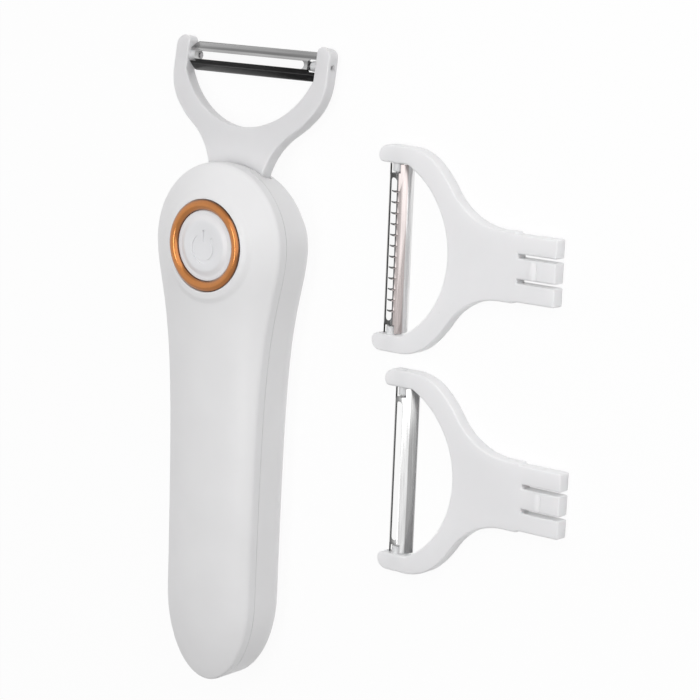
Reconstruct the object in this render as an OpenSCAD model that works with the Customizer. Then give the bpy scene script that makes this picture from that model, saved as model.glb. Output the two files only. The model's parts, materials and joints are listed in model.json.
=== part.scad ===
// Vibrating hand peeler: a two-shell grip with a push button, a motor with an eccentric
// weight, a pull-out fork with a swivelling blade, and two spare forks that lie beside it.
// Millimetres. It lies on its back: +Z is the button side and +Y points to the blade.
// The origin is where the button's axis meets the surface that the back rests on.

/* [Body] */
// Radius of the round end under the button
end_r = 27; // [26:0.5:29]
// Half width of the grip near the tail
grip_half_w = 18; // [17:0.5:20]
// Length over which the round end narrows into the grip
taper_len = 25; // [22:1:32]
// Distance from the button axis to the tail tip
tail_reach = 150; // [144:0.5:158]
// Length of the elliptical tail end
tail_round = 29.5; // [26:0.5:31]
// Height of the flat side band
band_h = 12.3; // [11.8:0.1:14]
// Height of the rounded edge between the side band and the back
back_round_h = 7.3; // [6.8:0.1:9]
// Share of the half width that is flat on the back
back_land = 0.62; // [0.5:0.01:0.66]
// How far the back of the round end lies behind its front edge
end_set_back = 2; // [0:0.1:2]
// Crown of the front face above the side band, at the button
dome_h = 8.2; // [8:0.1:10]
// Roundness of the crown: 2 is a parabola, more is flatter on top
dome_power = 2.4; // [2:0.1:3]
// Part of the side band that belongs to the front cover
front_rim_h = 3.4; // [2.8:0.1:4]
// Wall of both covers
wall = 1.8; // [1.5:0.1:2]
// Height of the lip that centres the covers on each other
lip_h = 1.4; // [1:0.1:2]
// Thickness of that lip
lip_t = 1; // [0.8:0.1:1.2]

/* [Button] */
// Outer radius of the metal ring
ring_r = 15.25; // [14.5:0.05:15.6]
// Width of the metal ring
ring_w = 3.4; // [3:0.1:3.8]
// Height of the ring's crest above the face around it
ring_proud = 1.5; // [1:0.1:2]
// Depth of the recess that the ring sits in
ring_recess = 0.8; // [0.5:0.1:1]
// Height of the ring's crown over its edges
ring_crown = 0.9; // [0.5:0.1:1.2]
// Thickness of the ring's collar in the front cover
collar_t = 1.5; // [1.2:0.1:1.6]
// Length of the ring's collar below its seat
collar_l = 1.9; // [1.5:0.1:2.2]
// Distance of the button's pad below the crest of the ring
button_sink = 0.6; // [0.3:0.1:0.9]
// Radius of the raised pad on the button
pad_r = 9.3; // [8:0.1:10]
// Height of the raised pad
pad_h = 0.7; // [0.4:0.1:1]
// Plate and skirt thickness of the button
button_t = 1.3; // [1:0.1:1.6]
// Width and height of the flange that keeps the button in
flange = 0.8; // [0.6:0.1:1]
// How far the button can be pressed
button_travel = 0.6; // [0.4:0.1:0.8]

/* [Blade heads] */
// Width of the fork over its prongs
fork_w = 66.6; // [64:0.2:70]
// Width of a prong
prong_w = 5.6; // [5:0.1:6.5]
// Length of the fork from its shoulder to the prong tips
fork_l = 54.2; // [53:0.2:58]
// Thickness of the fork
plate_t = 4.8; // [4.4:0.1:5]
// How far the radius of the D-shaped opening goes beyond half the width between the prongs
opening_over = 3.1; // [2.6:0.1:3.6]
// Width of the bow round the opening
bow_w = 7.45; // [6.5:0.05:8.5]
// Distance from the start of the blade's round corners to the start of the opening's round
opening_clear = 1.51; // [1.4:0.01:1.8]
// Radius where the bow turns into a prong
shoulder_blend_r = 18; // [14:0.5:19]
// Width of the neck
neck_w = 22.2; // [21.6:0.1:23]
// Height above the shoulder where the neck starts to widen
neck_straight = 5.2; // [4:0.1:6]
// Width over the three tongues at the end of the neck
tongue_w = 21; // [20:0.1:21.6]
// Length of the tongues
tongue_l = 15.4; // [14:0.1:16]
// Width of the middle tongue
latch_w = 6.5; // [5.5:0.1:7.5]
// Slot on each side of the middle tongue
tongue_slot = 1.3; // [1:0.1:1.6]
// Length of these slots
tongue_slot_l = 14.2; // [12:0.1:14.4]
// Height of the latch ridge on the middle tongue
latch_h = 0.6; // [0.4:0.1:0.7]
// Length of the latch ridge
latch_l = 3; // [2:0.1:4]
// Distance of the ridge from the shoulder
latch_at = 5.5; // [5:0.1:7]
// Backward lean of the head in the handle, in degrees
head_lean = 9; // [8:0.5:10]
// Length of neck that is hidden in the handle
neck_hidden = 14.6; // [14:0.1:15.4]
// Depth of the neck's middle below the edge of the front face
neck_drop = 10.6; // [10.2:0.1:10.9]
// Gap round the neck and the tongues in their socket
socket_gap = 0.15; // [0.1:0.05:0.25]
// Wall of the socket
socket_wall = 1.4; // [1.2:0.1:1.6]

/* [Blades] */
// Distance of the blade's pivot from the prong tips
pivot_inset = 6.4; // [6.2:0.1:6.6]
// Radius of the pivot pins
pin_r = 0.75; // [0.6:0.05:0.9]
// Running clearance of a pin in its bore
pin_gap = 0.05; // [0.03:0.01:0.08]
// How deep the pin's end lies in the prong's outer face
pin_sink = 1; // [0.5:0.1:2]
// Radius of the bearing boss inside each prong
boss_r = 1.7; // [1.6:0.05:1.8]
// Length of the bearing boss
boss_l = 2.8; // [2.4:0.1:3.2]
// Sheet thickness of a blade
blade_t = 0.5; // [0.4:0.05:0.55]
// Width of the cutting slot
slot_w = 2.7; // [2.5:0.1:3]
// Width of each of the blade's two flanges
flange_w = 5.7; // [5.4:0.1:5.9]
// Slope of the flanges, in degrees
flange_slope = 52; // [50:1:54]
// Radius of the blade's corners, seen from above
blade_corner_r = 1.5; // [1.2:0.1:2]
// Gap between the blade and a prong
blade_gap = 0.4; // [0.3:0.05:0.6]
// Web of sheet left between the slot and the blade's end ear
web_l = 0.9; // [0.7:0.1:1.2]
// Number of slicing teeth on the julienne blade
tooth_n = 12; // [8:1:13]
// Height of a slicing tooth
tooth_h = 1.7; // [1.2:0.1:1.9]
// Pitch of the slicing teeth
tooth_pitch = 3.5; // [3:0.1:3.6]

/* [Inside] */
// Radius of the motor can
motor_r = 7.75; // [7:0.05:8]
// Length of the motor can
motor_l = 26; // [24:0.5:27]
// Radius of the motor shaft
shaft_r = 1; // [0.9:0.05:1.1]
// Radius of the eccentric weight
weight_r = 6; // [5:0.1:6.4]
// Length of the eccentric weight
weight_l = 8; // [6:0.5:8.5]
// Radius of the battery cell
cell_r = 7; // [6.5:0.1:7.2]
// Length of the charging board
charge_l = 12.4; // [11.5:0.1:14]
// Thickness of both circuit boards
board_t = 1.2; // [1:0.1:1.6]
// Radius of the control board
board_r = 18.5; // [18.2:0.1:19]
// Radius of a case screw's thread
screw_r = 1.25; // [1.1:0.05:1.4]
// Radius of a case screw's head
screw_head_r = 2.3; // [2.1:0.1:2.4]
// Height of a case screw's head
screw_head_h = 1.6; // [1.4:0.1:1.8]

/* [Spare heads] */
// Gap between the handle's widest place and the prong tips of the julienne head
spare_off = 27.2; // [20:0.2:50]
// Position of the julienne head along the handle
julienne_y = 4.3; // [2:0.1:20]
// Gap between the two spare heads
spare_space = 5.2; // [4:0.1:20]
// How far the plain spare head lies further out than the julienne head
spare_step = 6.1; // [0:0.1:12]

/* [Hidden] */
$fn = 48;

// Colours
shell_white = [0.93, 0.93, 0.94];
copper = [0.75, 0.43, 0.19];
steel = [0.70, 0.70, 0.72];
board_green = [0.10, 0.35, 0.22];
dark = [0.12, 0.12, 0.13];
brass = [0.76, 0.62, 0.32];

eps = 0.05;
far = 400;
// Space left between pieces that only lie side by side
rest_gap = 0.1;
// How deep a post or a rib is rooted in the floor
root = 0.3;

// Levels of the body
crease_z = back_round_h + band_h;
part_z = crease_z - front_rim_h;
grip_end_y = -(tail_reach - tail_round);
// How far the front cover's inside lies below its edge
edge_drop = 0.4 * wall;

// Rows of points round the outline
arc_n = 10;
side_n = 16;
tail_n = 9;
half_n = arc_n + side_n + tail_n;

// Half width of the body without the rounding of the tail, d inside the outline
function body_w(y, d = 0) = grip_half_w - d + (end_r - grip_half_w) / (1 + pow(min(y, 0) / taper_len, 2));
// Right half of the outline, d inside it, from the round end to the tail tip
function half_outline(d = 0) = concat(
    [for (i = [0 : arc_n - 1]) let (a = 90 * i / arc_n) (end_r - d) * [sin(a), cos(a)]],
    [for (i = [0 : side_n - 1]) let (y = grip_end_y * i / side_n) [body_w(y, d), y]],
    [for (i = [0 : tail_n]) let (a = 90 * i / tail_n, y = grip_end_y - (tail_round - d) * sin(a))
        [body_w(y, d) * (i == tail_n ? 0 : cos(a)), y]]
);
// The whole outline: point i and point 2 * half_n - i mirror each other
function outline(d = 0) = let (h = half_outline(d))
    concat(h, [for (i = [half_n - 1 : -1 : 1]) [-h[i].x, h[i].y]]);
// Point of the middle line that an outline point shrinks towards
function spine_y(y) = max(grip_end_y, min(0, y));
// Crown of the front face over the middle line
function crown(y) = dome_h * pow(body_w(spine_y(y)) / end_r, 2);
// Outline scaled to share s towards the middle line, with heights from a crown
function ring_at(d, s, z, crown_share = 0, crown_less = 0) = [for (p = outline(d)) let (m = spine_y(p.y))
    [p.x * s, m + (p.y - m) * s, z + crown_share * (crown(p.y) - crown_less)]];
// Share of the set-back at a point of the round end
function set_back_share(y) = let (t = max(0, min(1, 2 * y / end_r))) t * t * (3 - 2 * t);
// Ring of the rear cover, whose round end leans back below the parting line
function rear_ring(d, s, z) = let (lean = end_set_back * max(0, min(1, (part_z - z) / (part_z - back_round_h))))
    [for (p = ring_at(d, s, z)) [p.x, p.y - lean * set_back_share(p.y), p.z]];
// Share of the crown that is left at share s of the width
function crown_share(s) = 1 - pow(s, dome_power);

// Outer and inner height of the front cover at a point over the round end or the grip
function share_of(x, y, d) = y > 0 ? norm([x, y]) / (end_r - d) : abs(x) / body_w(y, d);
function dome_z(x, y) = crease_z + crown(y) * crown_share(share_of(x, y, 0));
function dome_in_z(x, y) = crease_z - edge_drop
    + (crown(y) - wall + edge_drop) * crown_share(share_of(x, y, wall));

// Closed solid from rings of points, each 2 * half_n long, with both ends capped across
module ring_solid(rings) {
    n = 2 * half_n;
    last = (len(rings) - 1) * n;
    // Triangles of strip i of a cap, wound one way or the other
    function across(at, i, turn) = let (
            strip = i == 0 ? [[0, 1, n - 1]]
                : i == half_n - 1 ? [[i, i + 1, i + 2]]
                : [[i, i + 1, n - i - 1], [i, n - i - 1, n - i]]
        ) [for (t = strip) turn ? [at + t.z, at + t.y, at + t.x] : [at + t.x, at + t.y, at + t.z]];
    polyhedron(
        points = [for (r = rings) each r],
        faces = concat(
            [for (i = [0 : half_n - 1]) each across(0, i, false)],
            [for (k = [0 : len(rings) - 2], i = [0 : n - 1])
                each [[k * n + i, (k + 1) * n + i, (k + 1) * n + (i + 1) % n],
                      [k * n + i, (k + 1) * n + (i + 1) % n, k * n + (i + 1) % n]]],
            [for (i = [0 : half_n - 1]) each across(last, i, true)]
        ),
        convexity = 6
    );
}

// Stadium-shaped bar along Y, w wide and h high
module stadium_bar(w, h, y0, y1) {
    translate([0, y1, 0]) rotate([90, 0, 0]) linear_extrude(y1 - y0) {
        square([w - h, h], center = true);
        for (side = [-1, 1]) translate([side * (w - h) / 2, 0]) circle(h / 2);
    }
}

// Round bar along Y
module bar_y(r, y0, y1) {
    translate([0, y1, 0]) rotate([90, 0, 0]) cylinder(r = r, h = y1 - y0);
}

// Screw with its head's bearing face at z = 0 and its thread of length l pointing up
module screw_up(r, head_r, head_h, l) {
    drive_w = head_r * 0.28;
    difference() {
        union() {
            translate([0, 0, -eps]) cylinder(r = r, h = l + eps);
            translate([0, 0, -head_h]) cylinder(r = head_r, h = head_h);
        }
        for (a = [0, 90]) rotate(a) translate([-head_r * 0.6, -drive_w / 2, -head_h - 1])
            cube([head_r * 1.2, drive_w, 1 + head_h / 2]);
    }
}

// Screw pointing down, with its head's bearing face at z = 0
module screw_down(r, head_r, head_h, l) {
    mirror([0, 0, 1]) screw_up(r, head_r, head_h, l);
}

// Wire along a list of points
wire_r = 0.6;
wire_sides = 8;
function unit(v) = v / norm(v);
function wire_ring(path, i) = let (
        t = unit(path[min(i + 1, len(path) - 1)] - path[max(i - 1, 0)]),
        side = unit(cross(t, abs(t.z) < 0.9 ? [0, 0, 1] : [1, 0, 0])),
        up = cross(side, t)
    ) [for (k = [0 : wire_sides - 1]) let (a = 360 * k / wire_sides)
        path[i] + wire_r * (cos(a) * side + sin(a) * up)];
module wire(path) {
    n = wire_sides;
    count = len(path);
    polyhedron(
        points = [for (i = [0 : count - 1]) each wire_ring(path, i)],
        faces = concat(
            [[for (k = [0 : n - 1]) k]],
            [for (i = [0 : count - 2], k = [0 : n - 1])
                each [[i * n + k, (i + 1) * n + k, (i + 1) * n + (k + 1) % n],
                      [i * n + k, (i + 1) * n + (k + 1) % n, i * n + (k + 1) % n]]],
            [[for (k = [n - 1 : -1 : 0]) (count - 1) * n + k]]
        )
    );
}

// Case screws
screw_gap = 0.02;
case_boss_r = screw_head_r + 0.9;
case_front_boss_r = screw_r + 1.75;
case_head_z = back_round_h - 0.9;
case_screw_at = [
    for (side = [-1, 1]) each [
        [side * (body_w(-taper_len) - 7.8), -taper_len - 2],
        [side * (grip_half_w - 6.8), grip_end_y - 7]
    ]
];

// Ring and button levels
ring_edge_z = dome_z(ring_r, 0);
ring_seat_z = ring_edge_z - ring_recess;
ring_top_z = ring_edge_z + ring_proud;
ring_in_r = ring_r - ring_w;
collar_r = ring_in_r + collar_t;
collar_z = ring_seat_z - collar_l;
guide_gap = 0.1;
guide_r = collar_r + guide_gap;
guide_wall = 1.4;
guide_z = collar_z - 0.6;
button_gap = 0.15;
button_r = ring_in_r - button_gap;
button_z = ring_top_z - button_sink - pad_h;
flange_top_z = collar_z - 0.3;
flange_r = button_r + flange;

// Place of the attached head: its shoulder on the middle of the neck
shoulder_y = end_r - neck_hidden * cos(head_lean);
shoulder_z = crease_z - neck_drop + neck_hidden * sin(head_lean);
module in_handle() { translate([0, shoulder_y, shoulder_z]) rotate([-head_lean, 0, 0]) children(); }
julienne_x = end_r + spare_off + fork_l;
spare_x = julienne_x + spare_step;
spare_y = julienne_y - fork_w - spare_space;
module beside_handle(x, y) { translate([x, y, plate_t / 2]) rotate(90) children(); }

// Socket, in the head's own frame
socket_back = 0.7;
socket_in_y = -tongue_l - socket_gap - socket_back;
socket_end_y = neck_hidden - wall - 6;
socket_half_w = neck_w / 2 + 2 * socket_gap + socket_wall;
socket_half_t = plate_t / 2 + socket_gap + socket_wall;
socket_roof_z = shoulder_z - socket_in_y * sin(head_lean) + (socket_half_t + latch_h) * cos(head_lean);
socket_foot_x = socket_half_w + 3;
socket_foot_y = shoulder_y - 6;
socket_foot_z = shoulder_z - 2;
small_screw_r = 0.9;
small_head_r = 1.7;
small_head_h = 1.2;
small_thread_l = 5;
post_r = 2.2;
foot_t = 2;

// Control board and switch
board_z = socket_roof_z + 0.4;
board_top_z = board_z + board_t;
switch_w = 6;
switch_h = 1.7;
plunger_r = 1.75;
plunger_h = 0.9;
plunger_top_z = board_top_z + switch_h + plunger_h;
board_post_at = [for (a = [90, 200, 340]) (board_r - post_r - 0.1) * [cos(a), sin(a)]];

// Motor
motor_z = wall + 1 + motor_r;
motor_front_y = -taper_len - 7;
motor_back_y = motor_front_y - motor_l;
can_wall = 0.7;
end_space = 2.5;
weight_y = motor_front_y + end_space;
shaft_tip_y = weight_y + weight_l + 1;
bush_r = 2.5;
magnet_t = 1.6;
armature_r = motor_r - can_wall - magnet_t - 0.8;
cap_t = 2;
terminal_x = 4.4;
terminal_l = 1.6;
clamp_y = (motor_front_y + motor_back_y) / 2;
clamp_l = 8;
clamp_t = 1.5;
clamp_screw_x = motor_r + 4.3;
clamp_flange_t = 2;

// Battery
cell_z = wall + 1.2 + cell_r + rest_gap;
tray_front_y = motor_back_y - 5;
tray_wall = 1.5;
cell_gap = 0.4;
tray_half_w = cell_r + 1.8;
cap_l = 1;

// Charging socket
usb_w = 8.94;
usb_h = 3.26;
usb_wall = 0.3;
usb_z = (back_round_h + part_z) / 2 - 0.7;
usb_mouth_y = -tail_reach + 1.3;
usb_l = 9;
usb_back = 1.5;
usb_floor_y = usb_mouth_y + usb_l - usb_back;
charge_board_z = usb_z - usb_h / 2 - board_t;
charge_back_y = usb_mouth_y + usb_l - usb_back;
charge_front_y = charge_back_y + charge_l;
charge_gap = 4.5;
charge_half_w = 7.5;
usb_gap = 0.2;

// The cell fills the room between the motor and the charging board
tray_back_y = charge_front_y + charge_gap;
cell_front_y = tray_front_y - tray_wall - cell_gap;
cell_l = cell_front_y - (tray_back_y + tray_wall + cell_gap);

// Upper shell with the hole for the ring and the button
module front_cover() {
    inner_less = wall - edge_drop;
    rings = concat(
        [for (s = [0.1, 0.3, 0.5, 0.66, 0.78, 0.88, 0.95, 0.985]) ring_at(0, s, crease_z, crown_share(s))],
        [ring_at(0, 1, crease_z - 0.5), ring_at(0, 1, part_z), ring_at(wall, 1, part_z)],
        [for (s = [1, 0.92, 0.8, 0.6, 0.35, 0.1])
            ring_at(wall, s, crease_z - edge_drop, crown_share(s), inner_less)]
    );
    color(shell_white) difference() {
        union() {
            ring_solid(rings);
            translate([0, 0, guide_z])
                cylinder(r = guide_r + guide_wall, h = dome_in_z(guide_r, 0) - guide_z + root);
            for (p = board_post_at) translate([p.x, p.y, board_top_z])
                cylinder(r = post_r, h = dome_in_z(norm(p), 0) - board_top_z + 0.4);
            for (p = case_screw_at) translate([p.x, p.y, part_z])
                cylinder(r = case_front_boss_r, h = dome_in_z(p.x, p.y) - part_z + 0.2);
        }
        translate([0, 0, board_top_z]) cylinder(r = guide_r, h = far);
        translate([0, 0, ring_seat_z]) cylinder(r = ring_r + guide_gap, h = far);
        for (p = board_post_at) translate([p.x, p.y, board_top_z - 1])
            cylinder(r = small_screw_r + screw_gap, h = 1 + dome_in_z(norm(p), 0) - board_top_z - 0.6);
        for (p = case_screw_at) translate([p.x, p.y, part_z - 1])
            cylinder(r = screw_r + screw_gap, h = 1 + dome_in_z(p.x, p.y) - part_z - 0.6);
    }
}

// Lower shell with the mouth of the head and its ridge, the charging port and what carries the inner pieces
module rear_cover() {
    function back_s(a) = 1 - (1 - back_land) * (1 - cos(a));
    function back_z(a, low) = low + (back_round_h - low) * (1 - sin(a));
    turns = [0, 18, 36, 54, 72, 90];
    rings = concat(
        [for (i = [5 : -1 : 0]) rear_ring(wall, back_s(turns[i]), back_z(turns[i], wall))],
        [rear_ring(wall, 1, part_z - 2), rear_ring(wall + lip_t + rest_gap, 1, part_z - 0.8),
         ring_at(wall + lip_t + rest_gap, 1, part_z + lip_h), ring_at(wall + rest_gap, 1, part_z + lip_h),
         ring_at(wall + rest_gap, 1, part_z), ring_at(0, 1, part_z)],
        [for (a = turns) rear_ring(0, back_s(a), back_z(a, 0))]
    );
    mouth_half_w = fork_half_w(neck_hidden - 3) + 0.3;
    mouth_half_t = plate_t / 2 + 0.25;
    ridge_gap = 0.3;
    color(shell_white) difference() {
        union() {
            ring_solid(rings);
            for (p = case_screw_at) translate([p.x, p.y, wall - root])
                cylinder(r = case_boss_r, h = part_z - wall + root - rest_gap);
            for (side = [-1, 1]) {
                translate([side * socket_foot_x, socket_foot_y, wall - root])
                    cylinder(r = post_r, h = socket_foot_z - wall + root);
                translate([side * clamp_screw_x, clamp_y, wall - root])
                    cylinder(r = post_r, h = motor_z - wall + root);
                translate([side * 6 - 1, charge_back_y + 1, wall - root])
                    cube([2, charge_front_y - charge_back_y - 2, charge_board_z - wall + root]);
                translate([-motor_r - 1, clamp_y + side * (motor_l / 2 - 4) - 1, wall - root])
                    cube([2 * motor_r + 2, 2, motor_z - wall - 2 + root]);
            }
        }
        for (p = case_screw_at) {
            translate([p.x, p.y, -1]) cylinder(r = screw_head_r + 0.3, h = case_head_z + 1);
            translate([p.x, p.y, 0]) cylinder(r = screw_r + rest_gap, h = part_z + 1);
        }
        for (side = [-1, 1]) {
            translate([side * socket_foot_x, socket_foot_y, wall + 1])
                cylinder(r = small_screw_r + screw_gap, h = socket_foot_z);
            translate([side * clamp_screw_x, clamp_y, wall + 1])
                cylinder(r = small_screw_r + screw_gap, h = motor_z);
        }
        translate([0, 0, motor_z]) bar_y(motor_r + rest_gap, motor_back_y - 1, motor_front_y + 1);
        in_handle() translate([-mouth_half_w, socket_end_y, -mouth_half_t])
            cube([2 * mouth_half_w, neck_hidden, 2 * mouth_half_t]);
        in_handle() translate([-latch_w / 2 - ridge_gap, socket_end_y, 0])
            cube([latch_w + 2 * ridge_gap, neck_hidden, mouth_half_t + latch_h]);
        translate([0, 0, usb_z])
            stadium_bar(usb_w + 2 * usb_gap, usb_h + 2 * usb_gap, -tail_reach - 1, charge_back_y + 1);
    }
}

// Screws that hold the two covers together, put in from the back
module case_screws() {
    for (p = case_screw_at) translate([p.x, p.y, case_head_z])
        color(steel) screw_up(screw_r, screw_head_r, screw_head_h, dome_in_z(p.x, p.y) - case_head_z - 1.2);
}

// Metal trim ring with a collar that lines the button's hole
module accent_ring() {
    side_h = ring_proud + ring_recess - ring_crown;
    crown_r = (pow(ring_w / 2, 2) + pow(ring_crown, 2)) / (2 * ring_crown);
    color(copper) rotate_extrude($fn = 96) {
        translate([ring_in_r, ring_seat_z]) square([ring_w, side_h]);
        translate([ring_in_r, collar_z]) square([collar_t, collar_l + side_h]);
        intersection() {
            translate([ring_in_r + ring_w / 2, ring_top_z - crown_r]) circle(crown_r);
            translate([ring_in_r, ring_seat_z + side_h - eps]) square([ring_w, ring_crown + 2 * eps]);
        }
    }
}

// Push button: a cap with a raised dished pad, a keeper flange and a centre post
module power_button() {
    flange_bottom_z = flange_top_z - flange;
    dish_r = 60;
    mark_r = 5.1;
    mark_w = 1.25;
    mark_low = 1;
    mark_gap = 5.4;
    mark_deep = 0.1;
    bar_y = 2.2;
    bar_l = 4;
    pad_top_z = button_z + pad_h;
    dish_deep = dish_r - sqrt(dish_r * dish_r - pow(pad_r - 1, 2));
    color(shell_white) difference() {
        union() {
            translate([0, 0, flange_bottom_z]) cylinder(r = button_r, h = button_z - flange_bottom_z);
            translate([0, 0, flange_bottom_z]) cylinder(r = flange_r, h = flange);
            translate([0, 0, button_z - eps]) cylinder(r1 = pad_r, r2 = pad_r - 0.4, h = pad_h + eps);
        }
        difference() {
            translate([0, 0, flange_bottom_z - 1])
                cylinder(r = button_r - button_t, h = button_z - button_t - flange_bottom_z + 1);
            translate([0, 0, plunger_top_z + rest_gap]) cylinder(r = plunger_r + 0.5, h = far);
        }
        translate([0, 0, pad_top_z + dish_r - dish_deep]) sphere(dish_r, $fn = 96);
        translate([0, -mark_low, pad_top_z - dish_deep - mark_deep]) {
            difference() {
                cylinder(r = mark_r, h = far);
                translate([0, 0, -1]) cylinder(r = mark_r - mark_w, h = far);
                translate([-mark_gap / 2, 0, -1]) cube([mark_gap, mark_r + 1, far]);
            }
            translate([-mark_w / 2, bar_y, 0]) cube([mark_w, bar_l, far]);
        }
    }
}

// Plunger of the switch, which the button pushes
module tact_plunger() {
    color(dark) translate([0, 0, board_top_z + switch_h - button_travel - 0.2])
        cylinder(r = plunger_r, h = plunger_h + button_travel + 0.2);
}

// Body of the push switch on the control board
module tact_switch() {
    color(steel) translate([0, 0, board_top_z]) difference() {
        translate([-switch_w / 2, -switch_w / 2, 0]) cube([switch_w, switch_w, switch_h]);
        translate([0, 0, 0.2]) cylinder(r = plunger_r + 0.05, h = switch_h);
    }
}

// Round circuit board under the button
module control_board() {
    color(board_green) difference() {
        translate([0, 0, board_z]) cylinder(r = board_r, h = board_t);
        for (p = board_post_at) translate([p.x, p.y, board_z - 1])
            cylinder(r = small_screw_r + rest_gap, h = board_t + 2);
    }
}

// Chips and connectors on the control board
module board_parts() {
    chip_h = 0.9;
    color(dark) translate([0, 0, board_top_z]) {
        translate([-7.5, -5, 0]) cube([4, 4.5, chip_h]);
        translate([4.6, -5.6, 0]) cube([3, 3, chip_h]);
        for (i = [0 : 3]) translate([4.2 + 1.1 * i, 2, 0]) cube([0.7, 1.5, chip_h / 2]);
        for (side = [-1, 1]) translate([side * 5.6 - 1, 5.4, 0]) cube([2, 1.2, chip_h]);
    }
}

// Screws that hold the control board to the front cover
module board_screws() {
    for (p = board_post_at) translate([p.x, p.y, board_z])
        color(steel) screw_up(small_screw_r, small_head_r, small_head_h, dome_in_z(norm(p), 0) - board_z - 1);
}

// Sleeve that takes the neck and the tongues, with two feet on the rear cover
module head_socket() {
    gap = socket_gap;
    color(shell_white) difference() {
        union() {
            in_handle() translate([-socket_half_w, socket_in_y, -socket_half_t])
                cube([2 * socket_half_w, socket_end_y - socket_in_y, 2 * socket_half_t + latch_h]);
            for (side = [0, 1]) mirror([side, 0, 0]) translate([0, socket_foot_y, socket_foot_z]) {
                translate([socket_foot_x, 0, 0]) cylinder(r = post_r, h = foot_t);
                translate([socket_half_w - 1, -post_r, 0])
                    cube([socket_foot_x - socket_half_w + 1, 2 * post_r, foot_t]);
            }
        }
        in_handle() {
            translate([-tongue_w / 2 - gap, -tongue_l - gap, -plate_t / 2 - gap])
                cube([tongue_w + 2 * gap, tongue_l + far, plate_t + 2 * gap]);
            translate([-neck_w / 2 - 2 * gap, -gap, -plate_t / 2 - gap])
                cube([neck_w + 4 * gap, far, plate_t + 2 * gap]);
            translate([-latch_w / 2 - gap, -latch_at - latch_l - gap, 0])
                cube([latch_w + 2 * gap, far, plate_t / 2 + latch_h + gap]);
        }
        for (side = [-1, 1]) translate([side * socket_foot_x, socket_foot_y, 0])
            cylinder(r = small_screw_r + rest_gap, h = far);
    }
}

// Screws that hold the socket to the rear cover
module socket_screws() {
    for (side = [-1, 1]) translate([side * socket_foot_x, socket_foot_y, socket_foot_z + foot_t])
        color(steel) screw_down(small_screw_r, small_head_r, small_head_h, foot_t + small_thread_l);
}

// Steel cup of the motor
module motor_can() {
    color(steel) translate([0, 0, motor_z]) difference() {
        bar_y(motor_r, motor_back_y, motor_front_y);
        bar_y(motor_r - can_wall, motor_back_y - 1, motor_front_y - can_wall);
        bar_y(bush_r + screw_gap, motor_back_y, motor_front_y + 1);
    }
}

// Two curved magnets inside the cup
module motor_magnets() {
    outer = motor_r - can_wall - screw_gap;
    color(dark) translate([0, 0, motor_z]) for (side = [-1, 1]) intersection() {
        difference() {
            bar_y(outer, motor_back_y + cap_t + 2, motor_front_y - can_wall - 2);
            bar_y(outer - magnet_t, motor_back_y, motor_front_y);
        }
        translate([side * motor_r, clamp_y, 0]) rotate([0, 45, 0])
            cube([motor_r * sqrt(2), motor_l, motor_r * sqrt(2)], center = true);
    }
}

// Sleeve bearing in the front of the cup
module motor_bush() {
    color(brass) translate([0, 0, motor_z]) difference() {
        bar_y(bush_r, motor_front_y - can_wall - 1.2, motor_front_y + 0.8);
        bar_y(shaft_r + pin_gap, motor_back_y, motor_front_y + 2);
    }
}

// Plastic end cap with the second bearing and two terminals
module motor_end_cap() {
    color(dark) translate([0, 0, motor_z]) {
        difference() {
            bar_y(motor_r - can_wall - screw_gap, motor_back_y, motor_back_y + cap_t);
            bar_y(shaft_r + pin_gap, motor_back_y + 0.6, motor_back_y + cap_t + 1);
        }
        for (side = [-1, 1]) translate([side * terminal_x - 0.9, motor_back_y - terminal_l, -0.25])
            cube([1.8, terminal_l + eps, 0.5]);
    }
}

// Motor shaft
module motor_shaft() {
    color(steel) translate([0, 0, motor_z]) bar_y(shaft_r, motor_back_y + 0.7, shaft_tip_y);
}

// Wound core on the motor shaft, with three poles
module armature() {
    y0 = motor_back_y + cap_t + end_space;
    y1 = motor_front_y - can_wall - end_space;
    color(copper) translate([0, 0, motor_z]) difference() {
        bar_y(armature_r, y0, y1);
        bar_y(shaft_r + screw_gap, y0 - 1, y1 + 1);
        for (a = [30, 150, 270]) rotate([0, a, 0]) translate([armature_r - 1.2, y0 - 1, -0.6])
            cube([2, y1 - y0 + 2, 1.2]);
    }
}

// Half-round weight that shakes the head as it turns
module eccentric_weight() {
    hub_r = shaft_r + 1.4;
    color(brass) translate([0, 0, motor_z]) difference() {
        union() {
            difference() {
                bar_y(weight_r, weight_y, weight_y + weight_l);
                translate([-far / 2, weight_y - 1, 0]) cube([far, weight_l + 2, far]);
            }
            bar_y(hub_r, weight_y, weight_y + weight_l);
        }
        bar_y(shaft_r + screw_gap, weight_y - 1, weight_y + weight_l + 1);
    }
}

// Strap that holds the motor down
module motor_clamp() {
    inner_r = motor_r + rest_gap;
    reach = clamp_screw_x + post_r;
    color(shell_white) translate([0, 0, motor_z]) difference() {
        union() {
            bar_y(inner_r + clamp_t, clamp_y - clamp_l / 2, clamp_y + clamp_l / 2);
            translate([-reach, clamp_y - clamp_l / 2, 0]) cube([2 * reach, clamp_l, clamp_flange_t]);
        }
        bar_y(inner_r, clamp_y - clamp_l, clamp_y + clamp_l);
        translate([-far / 2, clamp_y - clamp_l, -far]) cube([far, 2 * clamp_l, far]);
        for (side = [-1, 1]) translate([side * clamp_screw_x, clamp_y, -1])
            cylinder(r = small_screw_r + rest_gap, h = clamp_flange_t + 2);
    }
}

// Screws of the motor strap
module clamp_screws() {
    for (side = [-1, 1]) translate([side * clamp_screw_x, clamp_y, motor_z + clamp_flange_t])
        color(steel) screw_down(small_screw_r, small_head_r, small_head_h, clamp_flange_t + small_thread_l);
}

// Rechargeable cell with its raised contact
module battery_cell() {
    color([0.16, 0.36, 0.62]) translate([0, 0, cell_z]) {
        bar_y(cell_r, cell_front_y - cell_l, cell_front_y - cap_l);
        bar_y(cell_r * 0.4, cell_front_y - cap_l - eps, cell_front_y);
    }
}

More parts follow.
